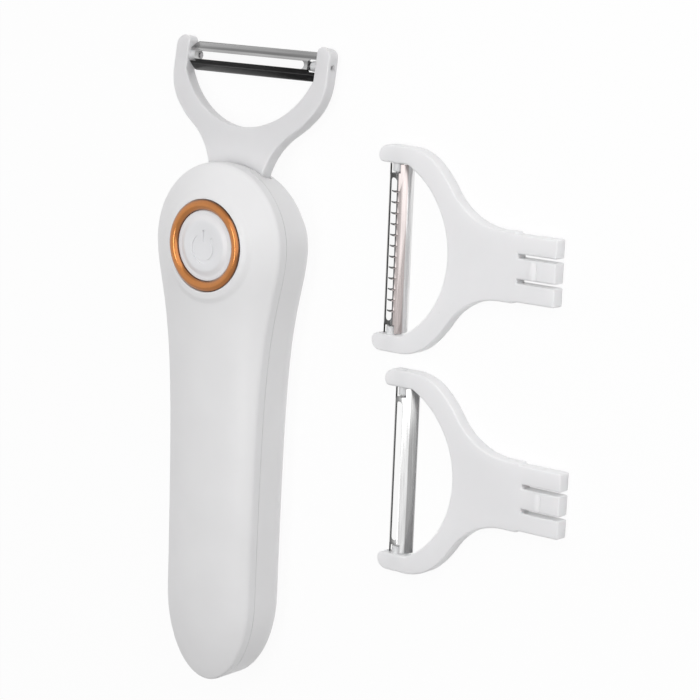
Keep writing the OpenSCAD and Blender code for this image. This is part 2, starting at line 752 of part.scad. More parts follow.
// Tray that the cell lies in
module battery_tray() {
    tray_top_z = cell_z - 1.5;
    end_top_z = cell_z + 2;
    color(shell_white) difference() {
        union() {
            translate([-tray_half_w, tray_back_y, wall])
                cube([2 * tray_half_w, tray_front_y - tray_back_y, tray_top_z - wall]);
            for (y = [tray_back_y, tray_front_y - tray_wall]) translate([-tray_half_w, y, wall])
                cube([2 * tray_half_w, tray_wall, end_top_z - wall]);
        }
        translate([0, 0, cell_z]) bar_y(cell_r + rest_gap, tray_back_y + tray_wall, tray_front_y - tray_wall);
        for (y = [tray_back_y, tray_front_y - tray_wall]) translate([0, 0, end_top_z])
            bar_y(wire_r + 1.2, y - 1, y + tray_wall + 1);
    }
}

// Small circuit board that carries the charging socket
module charge_board() {
    color(board_green) translate([-charge_half_w, charge_back_y, charge_board_z])
        cube([2 * charge_half_w, charge_front_y - charge_back_y, board_t]);
}

// Metal shell of the charging socket, with its contact tongue
module charge_socket() {
    color(steel) translate([0, 0, usb_z]) {
        difference() {
            stadium_bar(usb_w, usb_h, usb_mouth_y, usb_mouth_y + usb_l);
            stadium_bar(usb_w - 2 * usb_wall, usb_h - 2 * usb_wall, usb_mouth_y - 1, usb_floor_y);
        }
        translate([-3.35, usb_mouth_y + 1, -0.35]) cube([6.7, usb_l - 2, 0.7]);
    }
}

// Routes of the inner wires
lead_z = motor_z + motor_r - 1.5;
over_motor_z = motor_z + motor_r + clamp_t + wire_r + 0.5;
board_lead_z = board_top_z + wire_r + rest_gap;
charge_lead_z = charge_board_z + board_t + wire_r + rest_gap;
board_edge_y = -board_r;
motor_lead_route = [
    [terminal_x, motor_back_y - terminal_l - 0.8, motor_z],
    [terminal_x + 2, motor_back_y - terminal_l - 0.8, motor_z + 2.4],
    [9.6, motor_back_y + 2, motor_z + 5],
    [10, motor_back_y + 7, lead_z],
    [10, clamp_y, lead_z],
    [8.4, motor_front_y + 2, lead_z + 1],
    [7, -taper_len + 2, board_lead_z - 1],
    [6.4, board_edge_y + 0.6, board_lead_z],
    [5.8, board_edge_y + 4, board_lead_z]
];
battery_lead_route = [
    [0, cell_front_y + wire_r + rest_gap, cell_z + 2],
    [0, tray_front_y + 1.6, cell_z + 5],
    [0, motor_back_y - 1.8, motor_z + motor_r],
    [0, motor_back_y + 3, over_motor_z],
    [0, clamp_y, over_motor_z],
    [0, motor_front_y, over_motor_z],
    [0, -taper_len, board_lead_z],
    [0, board_edge_y + 0.6, board_lead_z],
    [0, board_edge_y + 4, board_lead_z]
];
cell_lead_route = [
    [0, cell_front_y - cell_l - wire_r - rest_gap, cell_z + 2],
    [0, tray_back_y - 0.6, cell_z + 3.4],
    [0, tray_back_y - 2.6, cell_z + 3],
    [0, charge_front_y - 1.2, charge_lead_z + 0.8],
    [0, charge_front_y - 2.8, charge_lead_z]
];
charge_lead_route = [
    [-5, charge_front_y - 2, charge_lead_z],
    [-5.6, charge_front_y + 1.4, cell_z + 2.2],
    [-7.9, tray_back_y - 0.4, cell_z + 3.2],
    [-8.6, tray_back_y + 2.2, cell_z + 3.1],
    [-11, tray_back_y + 9, cell_z],
    [-11, tray_front_y - 6, cell_z],
    [-11.6, motor_back_y - 1, cell_z + 2.6],
    [-13.2, motor_back_y + 5, lead_z],
    [-13.2, clamp_y, lead_z],
    [-10.6, motor_front_y + 1, lead_z + 0.6],
    [-9.8, -taper_len + 2, board_lead_z - 1],
    [-9, board_edge_y + 1.6, board_lead_z],
    [-8, board_edge_y + 5, board_lead_z]
];

// Pair of wires from the motor to the control board
module motor_leads() {
    for (side = [-1, 1]) color(side < 0 ? dark : "firebrick")
        wire([for (p = motor_lead_route) [side * p.x, p.y, p.z]]);
}

// Wires from the two ends of the cell
module battery_leads() {
    color("firebrick") wire(battery_lead_route);
    color(dark) wire(cell_lead_route);
}

// Wire from the charging board to the control board
module charge_leads() {
    color("goldenrod") wire(charge_lead_route);
}

// Rise and run of a blade's flange
flange_y = flange_w * cos(flange_slope);
flange_z = flange_w * sin(flange_slope);

// Fork outline, in its own frame: the shoulder is y = 0 and the prongs point along +Y
half_fork = fork_w / 2;
inner_half = half_fork - prong_w;
opening_r = inner_half + opening_over;
bow_r = opening_r + bow_w;
pivot_y = fork_l - pivot_inset;
tip_r = prong_w / 2;
// The opening's round starts beside the blade's round corners
round_y = pivot_y - slot_w / 2 - flange_y + blade_corner_r - opening_clear;
opening_y = round_y + sqrt(pow(opening_r, 2) - pow(inner_half, 2));
// The hollow beside the neck touches the bow
fillet_y = neck_straight;
neck_fillet_r = (pow(neck_w / 2, 2) + pow(opening_y - fillet_y, 2) - pow(bow_r, 2)) / (2 * bow_r - neck_w);
fillet_x = neck_w / 2 + neck_fillet_r;
blend_x = half_fork - shoulder_blend_r;
blend_y = opening_y - sqrt(pow(bow_r - shoulder_blend_r, 2) - pow(blend_x, 2));
// Direction of the touching points, seen from the opening's centre
fillet_dir = atan2(fillet_y - opening_y, fillet_x);
blend_dir = atan2(blend_y - opening_y, blend_x);
// Half width of the neck at y above the shoulder
function fork_half_w(y) = y < fillet_y ? neck_w / 2
    : fillet_x - sqrt(pow(neck_fillet_r, 2) - pow(y - fillet_y, 2));
// Points of an arc with n steps
function arc(x, y, r, a0, a1, n) = [for (i = [0 : n]) let (a = a0 + (a1 - a0) * i / n)
    [x + r * cos(a), y + r * sin(a)]];
function half_fork_outline() = concat(
    [[neck_w / 2, 0]],
    arc(fillet_x, fillet_y, neck_fillet_r, 180, 180 + fillet_dir, 8),
    arc(0, opening_y, bow_r, fillet_dir, blend_dir, 4),
    arc(blend_x, blend_y, shoulder_blend_r, blend_dir, 0, 6),
    arc(half_fork - tip_r, fork_l - tip_r, tip_r, 0, 180, 10),
    arc(0, opening_y, opening_r, -acos(inner_half / opening_r), -90, 18)
);
module fork_outline() {
    h = half_fork_outline();
    n = len(h);
    polygon(concat(h, [for (i = [n - 2 : -1 : 0]) [-h[i].x, h[i].y]]));
}

// Fork with a neck, three tongues, a latch ridge and two bearing bosses
module fork() {
    slot_x = (latch_w + tongue_slot) / 2;
    color(shell_white) difference() {
        union() {
            linear_extrude(plate_t, center = true) fork_outline();
            translate([-tongue_w / 2, -tongue_l, -plate_t / 2]) cube([tongue_w, tongue_l + eps, plate_t]);
            translate([-latch_w / 2, -latch_at - latch_l, 0])
                cube([latch_w, latch_l, plate_t / 2 + latch_h]);
            for (side = [-1, 1]) translate([side * (inner_half - boss_l / 2 + eps), pivot_y, 0])
                rotate([0, 90, 0]) cylinder(r = boss_r, h = boss_l + 2 * eps, center = true);
        }
        for (side = [-1, 1]) translate([side * slot_x - tongue_slot / 2, -tongue_l - 1, -plate_t])
            cube([tongue_slot, tongue_slot_l + 1, 2 * plate_t]);
        translate([0, pivot_y, 0]) rotate([0, 90, 0])
            cylinder(r = pin_r + pin_gap, h = fork_w + 2, center = true);
    }
}

// Blade profile across its pivot: y runs across the blade and z out of the fork
blade_top_z = flange_z / 2 + 0.15;
blade_low_z = blade_top_z - flange_z;
sheet_y = blade_t * tan(flange_slope / 2);
blade_half_l = inner_half - blade_gap;
ear_x = inner_half - boss_l - blade_gap;
slot_half_l = ear_x - blade_t - web_l;
module blade_profile() {
    top = slot_w / 2;
    out = top + flange_y;
    skin = blade_t * [sin(flange_slope), 0.6 * cos(flange_slope)];
    polygon([
        [-out, blade_low_z], [-top, blade_top_z], [top, blade_top_z], [out, blade_low_z],
        [out - skin.x, blade_low_z - skin.y], [top - sheet_y, blade_top_z - blade_t],
        [sheet_y - top, blade_top_z - blade_t], [skin.x - out, blade_low_z - skin.y]
    ]);
}
// Blade seen from above
module blade_outline() {
    x = blade_half_l - blade_corner_r;
    y = slot_w / 2 + flange_y - blade_corner_r;
    polygon(concat(
        arc(x, y, blade_corner_r, 0, 90, 5), arc(-x, y, blade_corner_r, 90, 180, 5),
        arc(-x, -y, blade_corner_r, 180, 270, 5), arc(x, -y, blade_corner_r, 270, 360, 5)
    ));
}
module along_x() { rotate([90, 0, 90]) children(); }

// Slotted blade with an ear at each end for its pins
module blade() {
    clear = boss_r + 0.35;
    color(steel) translate([0, pivot_y, 0]) difference() {
        union() {
            intersection() {
                along_x() linear_extrude(2 * blade_half_l, center = true) blade_profile();
                linear_extrude(far, center = true) blade_outline();
            }
            for (side = [-1, 1]) translate([side * (ear_x - blade_t / 2), 0, 0]) along_x()
                linear_extrude(blade_t, center = true) polygon([
                    [-slot_w / 2 - 0.2, blade_top_z - eps], [slot_w / 2 + 0.2, blade_top_z - eps],
                    [pin_r + 0.7, -pin_r - 0.5], [-pin_r - 0.7, -pin_r - 0.5]
                ]);
        }
        translate([0, 0, blade_top_z]) {
            for (side = [-1, 1]) {
                translate([side * (slot_half_l - slot_w / 2), 0, 0])
                    cylinder(r = slot_w / 2, h = 3 * blade_t, center = true);
                translate([side * (ear_x + far / 2), 0, 0]) cube([far, 2 * clear, 2 * clear], center = true);
            }
            cube([2 * slot_half_l - slot_w, slot_w, 3 * blade_t], center = true);
        }
        rotate([0, 90, 0]) cylinder(r = pin_r + screw_gap, h = far, center = true);
    }
}

// Pivot pins, one in each ear
module pins() {
    pin_l = half_fork - pin_sink - ear_x + blade_t + 0.4;
    color(steel) for (side = [-1, 1]) translate([side * (half_fork - pin_sink - pin_l / 2), pivot_y, 0])
        rotate([0, 90, 0]) cylinder(r = pin_r, h = pin_l, center = true);
}

// Row of slicing teeth that stand on one edge of the slot
module teeth() {
    edge = -slot_w / 2;
    low_z = blade_top_z - blade_t;
    row_x = (tooth_n - 1) / 2 * tooth_pitch;
    color(steel) for (i = [0 : tooth_n - 1]) translate([i * tooth_pitch - row_x, pivot_y, 0])
        along_x() linear_extrude(blade_t, center = true) polygon([
            [edge - 0.9, low_z - 0.3], [edge + 0.25, low_z], [edge + 0.9, blade_top_z + tooth_h * 0.7],
            [edge + 0.4, blade_top_z + tooth_h], [edge - 0.5, blade_top_z - 0.2]
        ]);
}
module tooth_blade() {
    blade();
    teeth();
}

module peeler_fork() { in_handle() fork(); }
module peeler_blade() { in_handle() blade(); }
module peeler_pins() { in_handle() pins(); }
module julienne_fork() { beside_handle(julienne_x, julienne_y) fork(); }
module julienne_blade() { beside_handle(julienne_x, julienne_y) tooth_blade(); }
module julienne_pins() { beside_handle(julienne_x, julienne_y) pins(); }
module spare_fork() { beside_handle(spare_x, spare_y) fork(); }
module spare_blade() { beside_handle(spare_x, spare_y) blade(); }
module spare_pins() { beside_handle(spare_x, spare_y) pins(); }

front_cover();
rear_cover();
case_screws();
accent_ring();
power_button();
tact_plunger();
tact_switch();
control_board();
board_parts();
board_screws();
head_socket();
socket_screws();
motor_can();
motor_magnets();
motor_bush();
motor_end_cap();
motor_shaft();
armature();
eccentric_weight();
motor_clamp();
clamp_screws();
battery_cell();
battery_tray();
charge_board();
charge_socket();
motor_leads();
battery_leads();
charge_leads();
peeler_fork();
peeler_blade();
peeler_pins();
julienne_fork();
julienne_blade();
julienne_pins();
spare_fork();
spare_blade();
spare_pins();
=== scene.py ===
"""Vibrating hand peeler with two spare heads: looks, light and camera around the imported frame."""

import json
import math

import bmesh
import bpy
from mathutils import Matrix, Vector


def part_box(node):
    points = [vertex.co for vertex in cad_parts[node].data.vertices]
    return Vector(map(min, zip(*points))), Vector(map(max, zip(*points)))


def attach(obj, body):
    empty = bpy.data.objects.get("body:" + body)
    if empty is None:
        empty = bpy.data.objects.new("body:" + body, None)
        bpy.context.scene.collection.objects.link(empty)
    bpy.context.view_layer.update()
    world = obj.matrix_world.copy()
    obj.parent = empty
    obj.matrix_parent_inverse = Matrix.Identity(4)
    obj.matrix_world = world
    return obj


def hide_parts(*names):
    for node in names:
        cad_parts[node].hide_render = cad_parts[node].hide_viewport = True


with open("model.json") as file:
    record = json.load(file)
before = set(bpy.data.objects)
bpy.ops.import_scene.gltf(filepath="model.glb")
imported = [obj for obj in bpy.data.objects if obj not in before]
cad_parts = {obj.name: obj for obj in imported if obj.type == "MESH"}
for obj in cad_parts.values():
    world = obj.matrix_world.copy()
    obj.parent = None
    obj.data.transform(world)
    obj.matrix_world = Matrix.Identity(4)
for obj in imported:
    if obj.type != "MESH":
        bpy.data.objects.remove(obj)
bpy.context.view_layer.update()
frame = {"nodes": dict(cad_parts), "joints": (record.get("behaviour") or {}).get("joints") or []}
nodes = frame["nodes"]
joints = {j["name"]: j for j in frame["joints"]}
scene = bpy.context.scene

# Lengths in the shape code are millimetres
MM = 0.001

# Camera: the photograph's angle, through a long lens
IMAGE_PX = 700
PX_PER_MM = 2.989
LENS_MM = 126.0
SENSOR_MM = 36.0
TO_CAMERA = Vector((0.6069, 0.1868, 0.7725)).normalized()
ROLL = math.radians(2.3)
GRIP_POINT = Vector((0, -40, 15))
GRIP_PX = (223.1, 361.0)
CLIP_NEAR, CLIP_FAR = 0.05, 20

# Body, in the same words as the solids
FRONT_LO, FRONT_HI = (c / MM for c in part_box("front_cover"))
END_R = FRONT_HI.x
TAIL_REACH = -FRONT_LO.y
PART_Z = FRONT_LO.z
GRIP_HALF_W = 18.0
TAPER_LEN = 25.0
TAIL_ROUND = 29.5
GRIP_END_Y = TAIL_ROUND - TAIL_REACH
CREASE_Z = PART_Z + 3.4
DOME_H = 8.2
DOME_POWER = 2.4
BACK_ROUND_H = 7.3
BACK_LAND = 0.62
END_SET_BACK = 2.0
WALL = 1.8
CREASE_ROUND = 0.9
SEAM_H = 0.1
SEAM_DEEP = 0.35
ARC_N, SIDE_N, TAIL_N, BACK_N = 36, 48, 28, 14

# Raised land round the ring
LAND_R = 17.2
LAND_H = 0.36
LAND_SLOPE = 2.2
LAND_MARGIN = 1.2
LAND_N = 8

# Rows of the front cover, as shares of the way from the land to an edge, and across the crease
FACE_ROWS = (0.06, 0.13, 0.2, 0.28, 0.36, 0.44, 0.52, 0.6, 0.68, 0.75, 0.82, 0.88, 0.93, 0.97, 1.0)
INNER_ROWS = (1.0, 0.85, 0.6, 0.3, 0.0)
CREASE_ROWS = (0.2, 0.4, 0.6, 0.8)

# Openings of the rear cover
WELL_R = 2.6
WELL_TOP_Z = BACK_ROUND_H - 0.9
POST_WALL = 0.6
POST_LOW_Z = WALL - 0.3
POST_TOP_Z = PART_Z - 0.4
SCREW_HEAD_R = 2.3
FAR_SCREW_X = GRIP_HALF_W - 6.8
PORT_GAP = 0.2
PORT_OUT = 2
PORT_DEEP = 14
MOUTH_SIDE_GAP = 1.35
MOUTH_GAP = 0.22
MOUTH_ROUND = 0.5
MOUTH_Y0, MOUTH_Y1 = 7.5, 22
RIDGE_GAP = 0.3
WELL_N = 40

# Ring and button
RING_LO, RING_HI = (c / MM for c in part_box("accent_ring"))
RING_R = RING_HI.x
RING_W = 3.4
RING_IN_R = RING_R - RING_W
RING_TOP_Z = RING_HI.z
RING_CROWN = 0.95
RING_SEAT_Z = RING_TOP_Z - 2.3
RING_EDGE = 0.08
RING_SHOULDER = 0.12
RING_N, CROWN_N = 160, 16
COLLAR_R = RING_IN_R + 1.5
RECESS_R = RING_R + 0.1
RECESS_ROUND = 0.25
RECESS_CUT = 0.07
GUIDE_R = COLLAR_R + 0.1
BUTTON_LO, BUTTON_HI = (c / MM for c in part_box("power_button"))
PAD_TOP_Z = BUTTON_HI.z
BUTTON_R = RING_IN_R - 0.15
BUTTON_WALL = 1.3
BUTTON_ROUND = 0.3
BUTTON_N = 128
FLANGE_R = BUTTON_HI.x
FLANGE_H = 0.8
PAD_R = 9.3
PAD_H = 0.7
PAD_DISH = 0.5
PAD_SLOPE = 2.4
PAD_ROUND = 0.4
DISH_POWER = 1.5
SLOPE_N, DISH_N = 10, 8
MARK_R = 5.1
MARK_W = 1.25
MARK_LOW = 1.0
MARK_GAP = 38
MARK_N = 48
MARK_SINK = 0.58
BAR_SINK = 0.8
BAR_Y0 = 1.2
BAR_Y1 = 5.2

# Heads
FORK_W = (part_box("peeler_fork")[1].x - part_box("peeler_fork")[0].x) / MM
PRONG_W = 5.6
FORK_L = 54.2
PLATE_T = 2 * joints["spare_swivel"]["pos_m"][2] / MM
OPENING_R = FORK_W / 2 - PRONG_W + 3.1
BOW_W = 7.45
BLEND_R = 18.0
NECK_W = 22.2
NECK_STRAIGHT = 5.2
TONGUE_W = 21.0
TONGUE_L = 15.4
LATCH_W = 6.5
TONGUE_SLOT = 1.3
TONGUE_SLOT_L = 14.2
LATCH_H = 0.6
LATCH_L = 3.0
LATCH_AT = 5.5
LATCH_SUNK = 0.5
LATCH_INSET = 0.4
LATCH_LIP = 0.15
LATCH_RISE_L = 1.1
LATCH_FALL_L = 0.5
TONGUE_CHAMFER = 0.3
TONGUE_ROUND = 0.6
PIVOT_Y = FORK_L - 6.4
BOSS_R = 1.7
BOSS_L = 2.8
BOSS_SUNK = 0.6
BOSS_FILLET = 0.35
BOSS_ROUND = 0.4
BOSS_N = 40
BORE_R = 0.8
BORE_SINK = 0.3
BORE_N = 28
EDGE_ROUND = 1.1
TIP_OUT_R = 3.5
TIP_IN_R = 2.0

# Blades
BLADE_T = 0.5
SLOT_W = 2.7
FLANGE_W = 5.7
FLANGE_SLOPE = math.radians(52)
BEND = 0.7
SWELL = 0.12
BLADE_CORNER_R = 1.5
PLAIN_CORNER_R = BLADE_CORNER_R * 0.4
BLADE_ROUND = 0.07
BLADE_WELD = 0.0001
SLOT_CUT = 1.2
NOTCH_H = 4
EAR_ROUND = 0.65
PIN_N, SLOT_N = 24, 16
# Cutters of a blade reach this far past it, upwards and endways
PAST_TOP, PAST_END = 9, 40
BOSS_CLEAR = 0.35
PIN_FIT = 0.04
OPENING_CLEAR = 1.51
BLADE_GAP = 0.4
WEB_L = 0.9
TOOTH_N = 12
TOOTH_T = 0.4
TOOTH_LEAN = 0.35
TOOTH_PITCH = 3.5

# Radius that stands for the axis in a turned profile
AXIS_R = 0.001


def make_camera():
    """Camera at the photograph's angle, with a point of the grip on its pixel."""
    up = Vector((0, 1, 0)) - TO_CAMERA * TO_CAMERA.y
    up.normalize()
    right = up.cross(TO_CAMERA)
    turned_right = right * math.cos(ROLL) + up * math.sin(ROLL)
    turned_up = up * math.cos(ROLL) - right * math.sin(ROLL)
    half = IMAGE_PX / 2
    aim = GRIP_POINT + turned_right * ((half - GRIP_PX[0]) / PX_PER_MM)
    aim = aim - turned_up * ((half - GRIP_PX[1]) / PX_PER_MM)
    distance = IMAGE_PX / PX_PER_MM * LENS_MM / SENSOR_MM
    place = (aim + TO_CAMERA * distance) * MM
    data = bpy.data.cameras.new("camera")
    data.lens = LENS_MM
    data.sensor_width = SENSOR_MM
    data.clip_start = CLIP_NEAR
    data.clip_end = CLIP_FAR
    camera = bpy.data.objects.new("camera", data)
    axes = Matrix((turned_right, turned_up, TO_CAMERA)).transposed().to_4x4()
    camera.matrix_world = Matrix.Translation(place) @ axes
    scene.collection.objects.link(camera)
    scene.camera = camera


make_camera()


# Mesh helpers


def mesh_object(name, verts, faces, place=None):
    """Object from points in millimetres, turned outward, at the origin of the frame."""
    mesh = bpy.data.meshes.new(name)
    at = place or Matrix.Identity(4)
    mesh.from_pydata([(at @ Vector(v)) * MM for v in verts], [], faces)
    bm = bmesh.new()
    bm.from_mesh(mesh)
    bmesh.ops.recalc_face_normals(bm, faces=bm.faces)
    bm.to_mesh(mesh)
    bm.free()
    obj = bpy.data.objects.new(name, mesh)
    scene.collection.objects.link(obj)
    return obj


def settle(obj):
    """Puts the object's modifiers into its mesh."""
    bpy.context.view_layer.update()
    found = obj.evaluated_get(bpy.context.evaluated_depsgraph_get())
    mesh = bpy.data.meshes.new_from_object(found)
    obj.modifiers.clear()
    old = obj.data
    obj.data = mesh
    bpy.data.meshes.remove(old)
    return obj


def combine(obj, tools, how):
    """Boolean of obj with each tool, which is used up."""
    for tool in tools:
        mod = obj.modifiers.new("cut", "BOOLEAN")
        mod.operation = how
        mod.solver = "EXACT"
        mod.object = tool
    settle(obj)
    for tool in tools:
        bpy.data.objects.remove(tool)
    return obj


def tidy(obj, weld=0.0005):
    """Welds doubled points and drops faces without area."""
    bm = bmesh.new()
    bm.from_mesh(obj.data)
    bmesh.ops.remove_doubles(bm, verts=bm.verts, dist=weld * MM)
    bmesh.ops.dissolve_degenerate(bm, edges=bm.edges, dist=weld * MM)
    bmesh.ops.recalc_face_normals(bm, faces=bm.faces)
    bm.to_mesh(obj.data)
    bm.free()
    return obj


def shade(obj, angle=32):
    """Smooth shading with creases above an angle."""
    obj.data.shade_smooth()
    obj.data.set_sharp_from_angle(angle=math.radians(angle))
    return obj


def soften(obj, width, segments=3, angle=40):
    """Rounds the edges that are sharper than an angle."""
    mod = obj.modifiers.new("round", "BEVEL")
    mod.width = width * MM
    mod.segments = segments
    mod.limit_method = "ANGLE"
    mod.angle_limit = math.radians(angle)
    mod.use_clamp_overlap = True
    return settle(obj)


def even_normals(obj):
    """Keeps flat faces flat beside rounded edges."""
    mod = obj.modifiers.new("normals", "WEIGHTED_NORMAL")
    mod.keep_sharp = True
    mod.weight = 60
    return obj


def put(obj, place):
    """Moves a mesh by a matrix whose lengths are millimetres."""
    obj.data.transform(Matrix.Diagonal((1 / MM, 1 / MM, 1 / MM, 1)))
    obj.data.transform(place)
    obj.data.transform(Matrix.Diagonal((MM, MM, MM, 1)))
    return obj


def rows_to_faces(count, n, closed):
    """Quads between rows of n points each, and from the last row to the first if closed."""
    faces = []
    for k in range(count if closed else count - 1):
        a, b = k * n, (k + 1) % count * n
        for i in range(n):
            j = (i + 1) % n
            faces.append((a + i, b + i, b + j, a + j))
    return faces


def cap_faces(start, n):
    """Quads across a row whose points i and n - i mirror each other."""
    half = n // 2
    faces = [(start, start + 1, start + n - 1)]
    for i in range(1, half - 1):
        faces.append((start + i, start + i + 1, start + n - i - 1, start + n - i))
    faces.append((start + half - 1, start + half, start + half + 1))
    return faces


def prism(name, points, z0, z1, place=None):
    """Straight prism over an outline in the XY plane."""
    n = len(points)
    verts = [(x, y, z0) for x, y in points] + [(x, y, z1) for x, y in points]
    faces = [tuple(range(n)), tuple(range(n, 2 * n))]
    faces += [(i, (i + 1) % n, n + (i + 1) % n, n + i) for i in range(n)]
    return mesh_object(name, verts, faces, place)


def lathe(name, profile, steps, place=None):
    """Closed solid of revolution about Z from a closed (r, z) profile."""
    n = len(profile)
    verts = []
    for k in range(steps):
        a = math.tau * k / steps
        verts += [(r * math.cos(a), r * math.sin(a), z) for r, z in profile]
    obj = mesh_object(name, verts, rows_to_faces(steps, n, True), place)
    return tidy(obj)


def arc(x, y, r, a0, a1, n):
    """Points of an arc, angles in degrees."""
    turn = [math.radians(a0 + (a1 - a0) * i / n) for i in range(n + 1)]
    return [(x + r * math.cos(a), y + r * math.sin(a)) for a in turn]


def disc(r, n):
    """Outline of a circle about the origin."""
    return arc(0, 0, r, 0, 360, n)[:-1]


def rectangle(x0, x1, y0, y1):
    """Outline of a rectangle."""
    return [(x0, y0), (x1, y0), (x1, y1), (x0, y1)]


def smooth(t):
    """Share that starts and ends level, from 0 to 1."""
    t = max(0.0, min(1.0, t))
    return t * t * (3 - 2 * t)


def stadium(w, h, n=12):
    """Outline of a slot w wide and h high."""
    x = (w - h) / 2
    return arc(x, 0, h / 2, -90, 90, n) + arc(-x, 0, h / 2, 90, 270, n)


ALONG_X = Matrix(((0, 0, 1), (1, 0, 0), (0, 1, 0))).to_4x4()
ALONG_Y = Matrix(((1, 0, 0), (0, 0, 1), (0, -1, 0))).to_4x4()


# Form of the body


def body_w(y, d=0.0):
    """Half width of the body without the rounding of the tail."""
    return GRIP_HALF_W - d + (END_R - GRIP_HALF_W) / (1 + (min(y, 0.0) / TAPER_LEN) ** 2)


def outline(d=0.0):
    """Outline of the body, d inside it, clockwise from the head end."""
    half = []
    for i in range(ARC_N):
        a = math.pi / 2 * i / ARC_N
        half.append(((END_R - d) * math.sin(a), (END_R - d) * math.cos(a)))
    for i in range(SIDE_N):
        y = GRIP_END_Y * i / SIDE_N
        half.append((body_w(y, d), y))
    for i in range(TAIL_N + 1):
        a = math.pi / 2 * i / TAIL_N
        y = GRIP_END_Y - (TAIL_ROUND - d) * math.sin(a)
        half.append((0.0 if i == TAIL_N else body_w(y, d) * math.cos(a), y))
    return half + [(-x, y) for x, y in half[-2:0:-1]]


def dome(x, y):
    """Height of the front face."""
    if y > 0:
        share = math.hypot(x, y) / END_R
    elif y > GRIP_END_Y:
        share = abs(x) / body_w(y)
    else:
        share = math.hypot(x / body_w(y), (y - GRIP_END_Y) / TAIL_ROUND)
    crown = DOME_H * (body_w(max(y, GRIP_END_Y)) / END_R) ** 2
    return CREASE_Z + crown * (1 - min(share, 1.0) ** DOME_POWER)


def face_z(x, y):
    """Height of the front face with the raised land round the ring."""
    t = (LAND_R + LAND_SLOPE - math.hypot(x, y)) / LAND_SLOPE
    return dome(x, y) + LAND_H * smooth(t)


def front_shell():
    """Front cover: crowned face, land, recess of the ring, rounded crease and seam."""
    inner_edge = outline(CREASE_ROUND)
    edge = outline()
    n = len(edge)
    dirs = [Vector(p).normalized() for p in inner_edge]
    reach = LAND_R + LAND_SLOPE + LAND_MARGIN

    def circle(r, z=None, drop=0.0):
        """Row round the ring at one height, or some way below the face."""
        points = [d * r for d in dirs]
        return [(p.x, p.y, face_z(p.x, p.y) - drop if z is None else z) for p in points]

    def between(t, to, less=0.0):
        """Row a share of the way from the land to an outline, some way below the face."""
        row = []
        for d, (x, y) in zip(dirs, to):
            px, py = d.x * reach * (1 - t) + x * t, d.y * reach * (1 - t) + y * t
            row.append((px, py, face_z(px, py) - less))
        return row

    rows = [circle(GUIDE_R, RING_SEAT_Z), circle(RECESS_R, RING_SEAT_Z)]
    rows += [circle(RECESS_R, drop=RECESS_ROUND), circle(RECESS_R + RECESS_CUT, drop=RECESS_CUT)]
    rows.append(circle(RECESS_R + RECESS_ROUND))
    land = [RECESS_R + 0.7, LAND_R - 1.0, LAND_R - 0.4]
    land += [LAND_R + LAND_SLOPE * k / LAND_N for k in range(LAND_N + 1)]
    rows += [circle(r) for r in land + [reach - LAND_MARGIN / 2, reach]]
    rows += [between(t, inner_edge) for t in FACE_ROWS]
    for t in CREASE_ROWS:
        row = []
        for (ax, ay), (bx, by) in zip(inner_edge, edge):
            k0, k1, k2 = (1 - t) ** 2, 2 * t * (1 - t), t * t
            z = k0 * face_z(ax, ay) + k1 * CREASE_Z + k2 * (CREASE_Z - CREASE_ROUND)
            row.append((k0 * ax + (1 - k0) * bx, k0 * ay + (1 - k0) * by, z))
        rows.append(row)
    rows += [[(x, y, z) for x, y in edge] for z in (CREASE_Z - CREASE_ROUND, PART_Z + SEAM_H)]
    rows += [[(x, y, z) for x, y in outline(SEAM_DEEP)] for z in (PART_Z + SEAM_H, PART_Z)]
    inside = outline(WALL)
    rows.append([(x, y, PART_Z) for x, y in inside])
    rows += [between(t, inside, WALL) for t in INNER_ROWS]
    rows.append(circle(GUIDE_R, RING_SEAT_Z - WALL))
    verts = [p for row in rows for p in row]
    return mesh_object("front_shell", verts, rows_to_faces(len(rows), n, True))


def scaled_row(d, s, z):
    """Outline shrunk towards the middle line, at one height."""
    row = []
    for x, y in outline(d):
        m = max(GRIP_END_Y, min(0.0, y))
        row.append((x * s, m + (y - m) * s, z))
    return row


def leaned(point):
    """A point of the rear cover, whose round end leans back below the parting line."""
    x, y, z = point
    lean = END_SET_BACK * max(0.0, min(1.0, (PART_Z - z) / (PART_Z - BACK_ROUND_H)))
    return (x, y - lean * smooth(2 * y / END_R), z)


def screw_wells():
    """Wells of the case screws, and the posts that carry them."""
    screw_lo, screw_hi = (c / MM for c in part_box("case_screws"))
    near_x, near_y = screw_hi.x - SCREW_HEAD_R, screw_hi.y - SCREW_HEAD_R
    far_y = screw_lo.y + SCREW_HEAD_R
    wells, posts = [], []
    for x, y in ((near_x, near_y), (FAR_SCREW_X, far_y)):
        for side in (1, -1):
            at = Matrix.Translation((side * x, y, 0))
            wells.append(prism("well", disc(WELL_R, WELL_N), -1, WELL_TOP_Z, at))
            posts.append(prism("post", disc(WELL_R + POST_WALL, WELL_N), POST_LOW_Z, POST_TOP_Z, at))
    return wells, posts


def charging_port():
    """Slot through the tail, round the charging socket."""
    lo, hi = (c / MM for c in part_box("charge_socket"))
    shape = stadium(hi.x - lo.x + 2 * PORT_GAP, hi.z - lo.z + 2 * PORT_GAP)
    at = Matrix.Translation((0, -TAIL_REACH - PORT_OUT, (lo.z + hi.z) / 2))
    return prism("port", shape, 0, PORT_DEEP, at @ ALONG_Y)


def head_mouth(head):
    """Slot for the neck of a head, with a channel for its latch ridge."""
    half_w = NECK_W / 2 + MOUTH_SIDE_GAP
    half_t = PLATE_T / 2 + MOUTH_GAP
    slot = rectangle(-half_w, half_w, MOUTH_Y0, MOUTH_Y1)
    mouth = prism("mouth", slot, -half_t, half_t, head)
    soften(mouth, MOUTH_ROUND)
    ridge_w = LATCH_W / 2 + RIDGE_GAP
    groove = rectangle(-ridge_w, ridge_w, MOUTH_Y0, MOUTH_Y1)
    return [mouth, prism("channel", groove, 0, half_t + LATCH_H, head)]


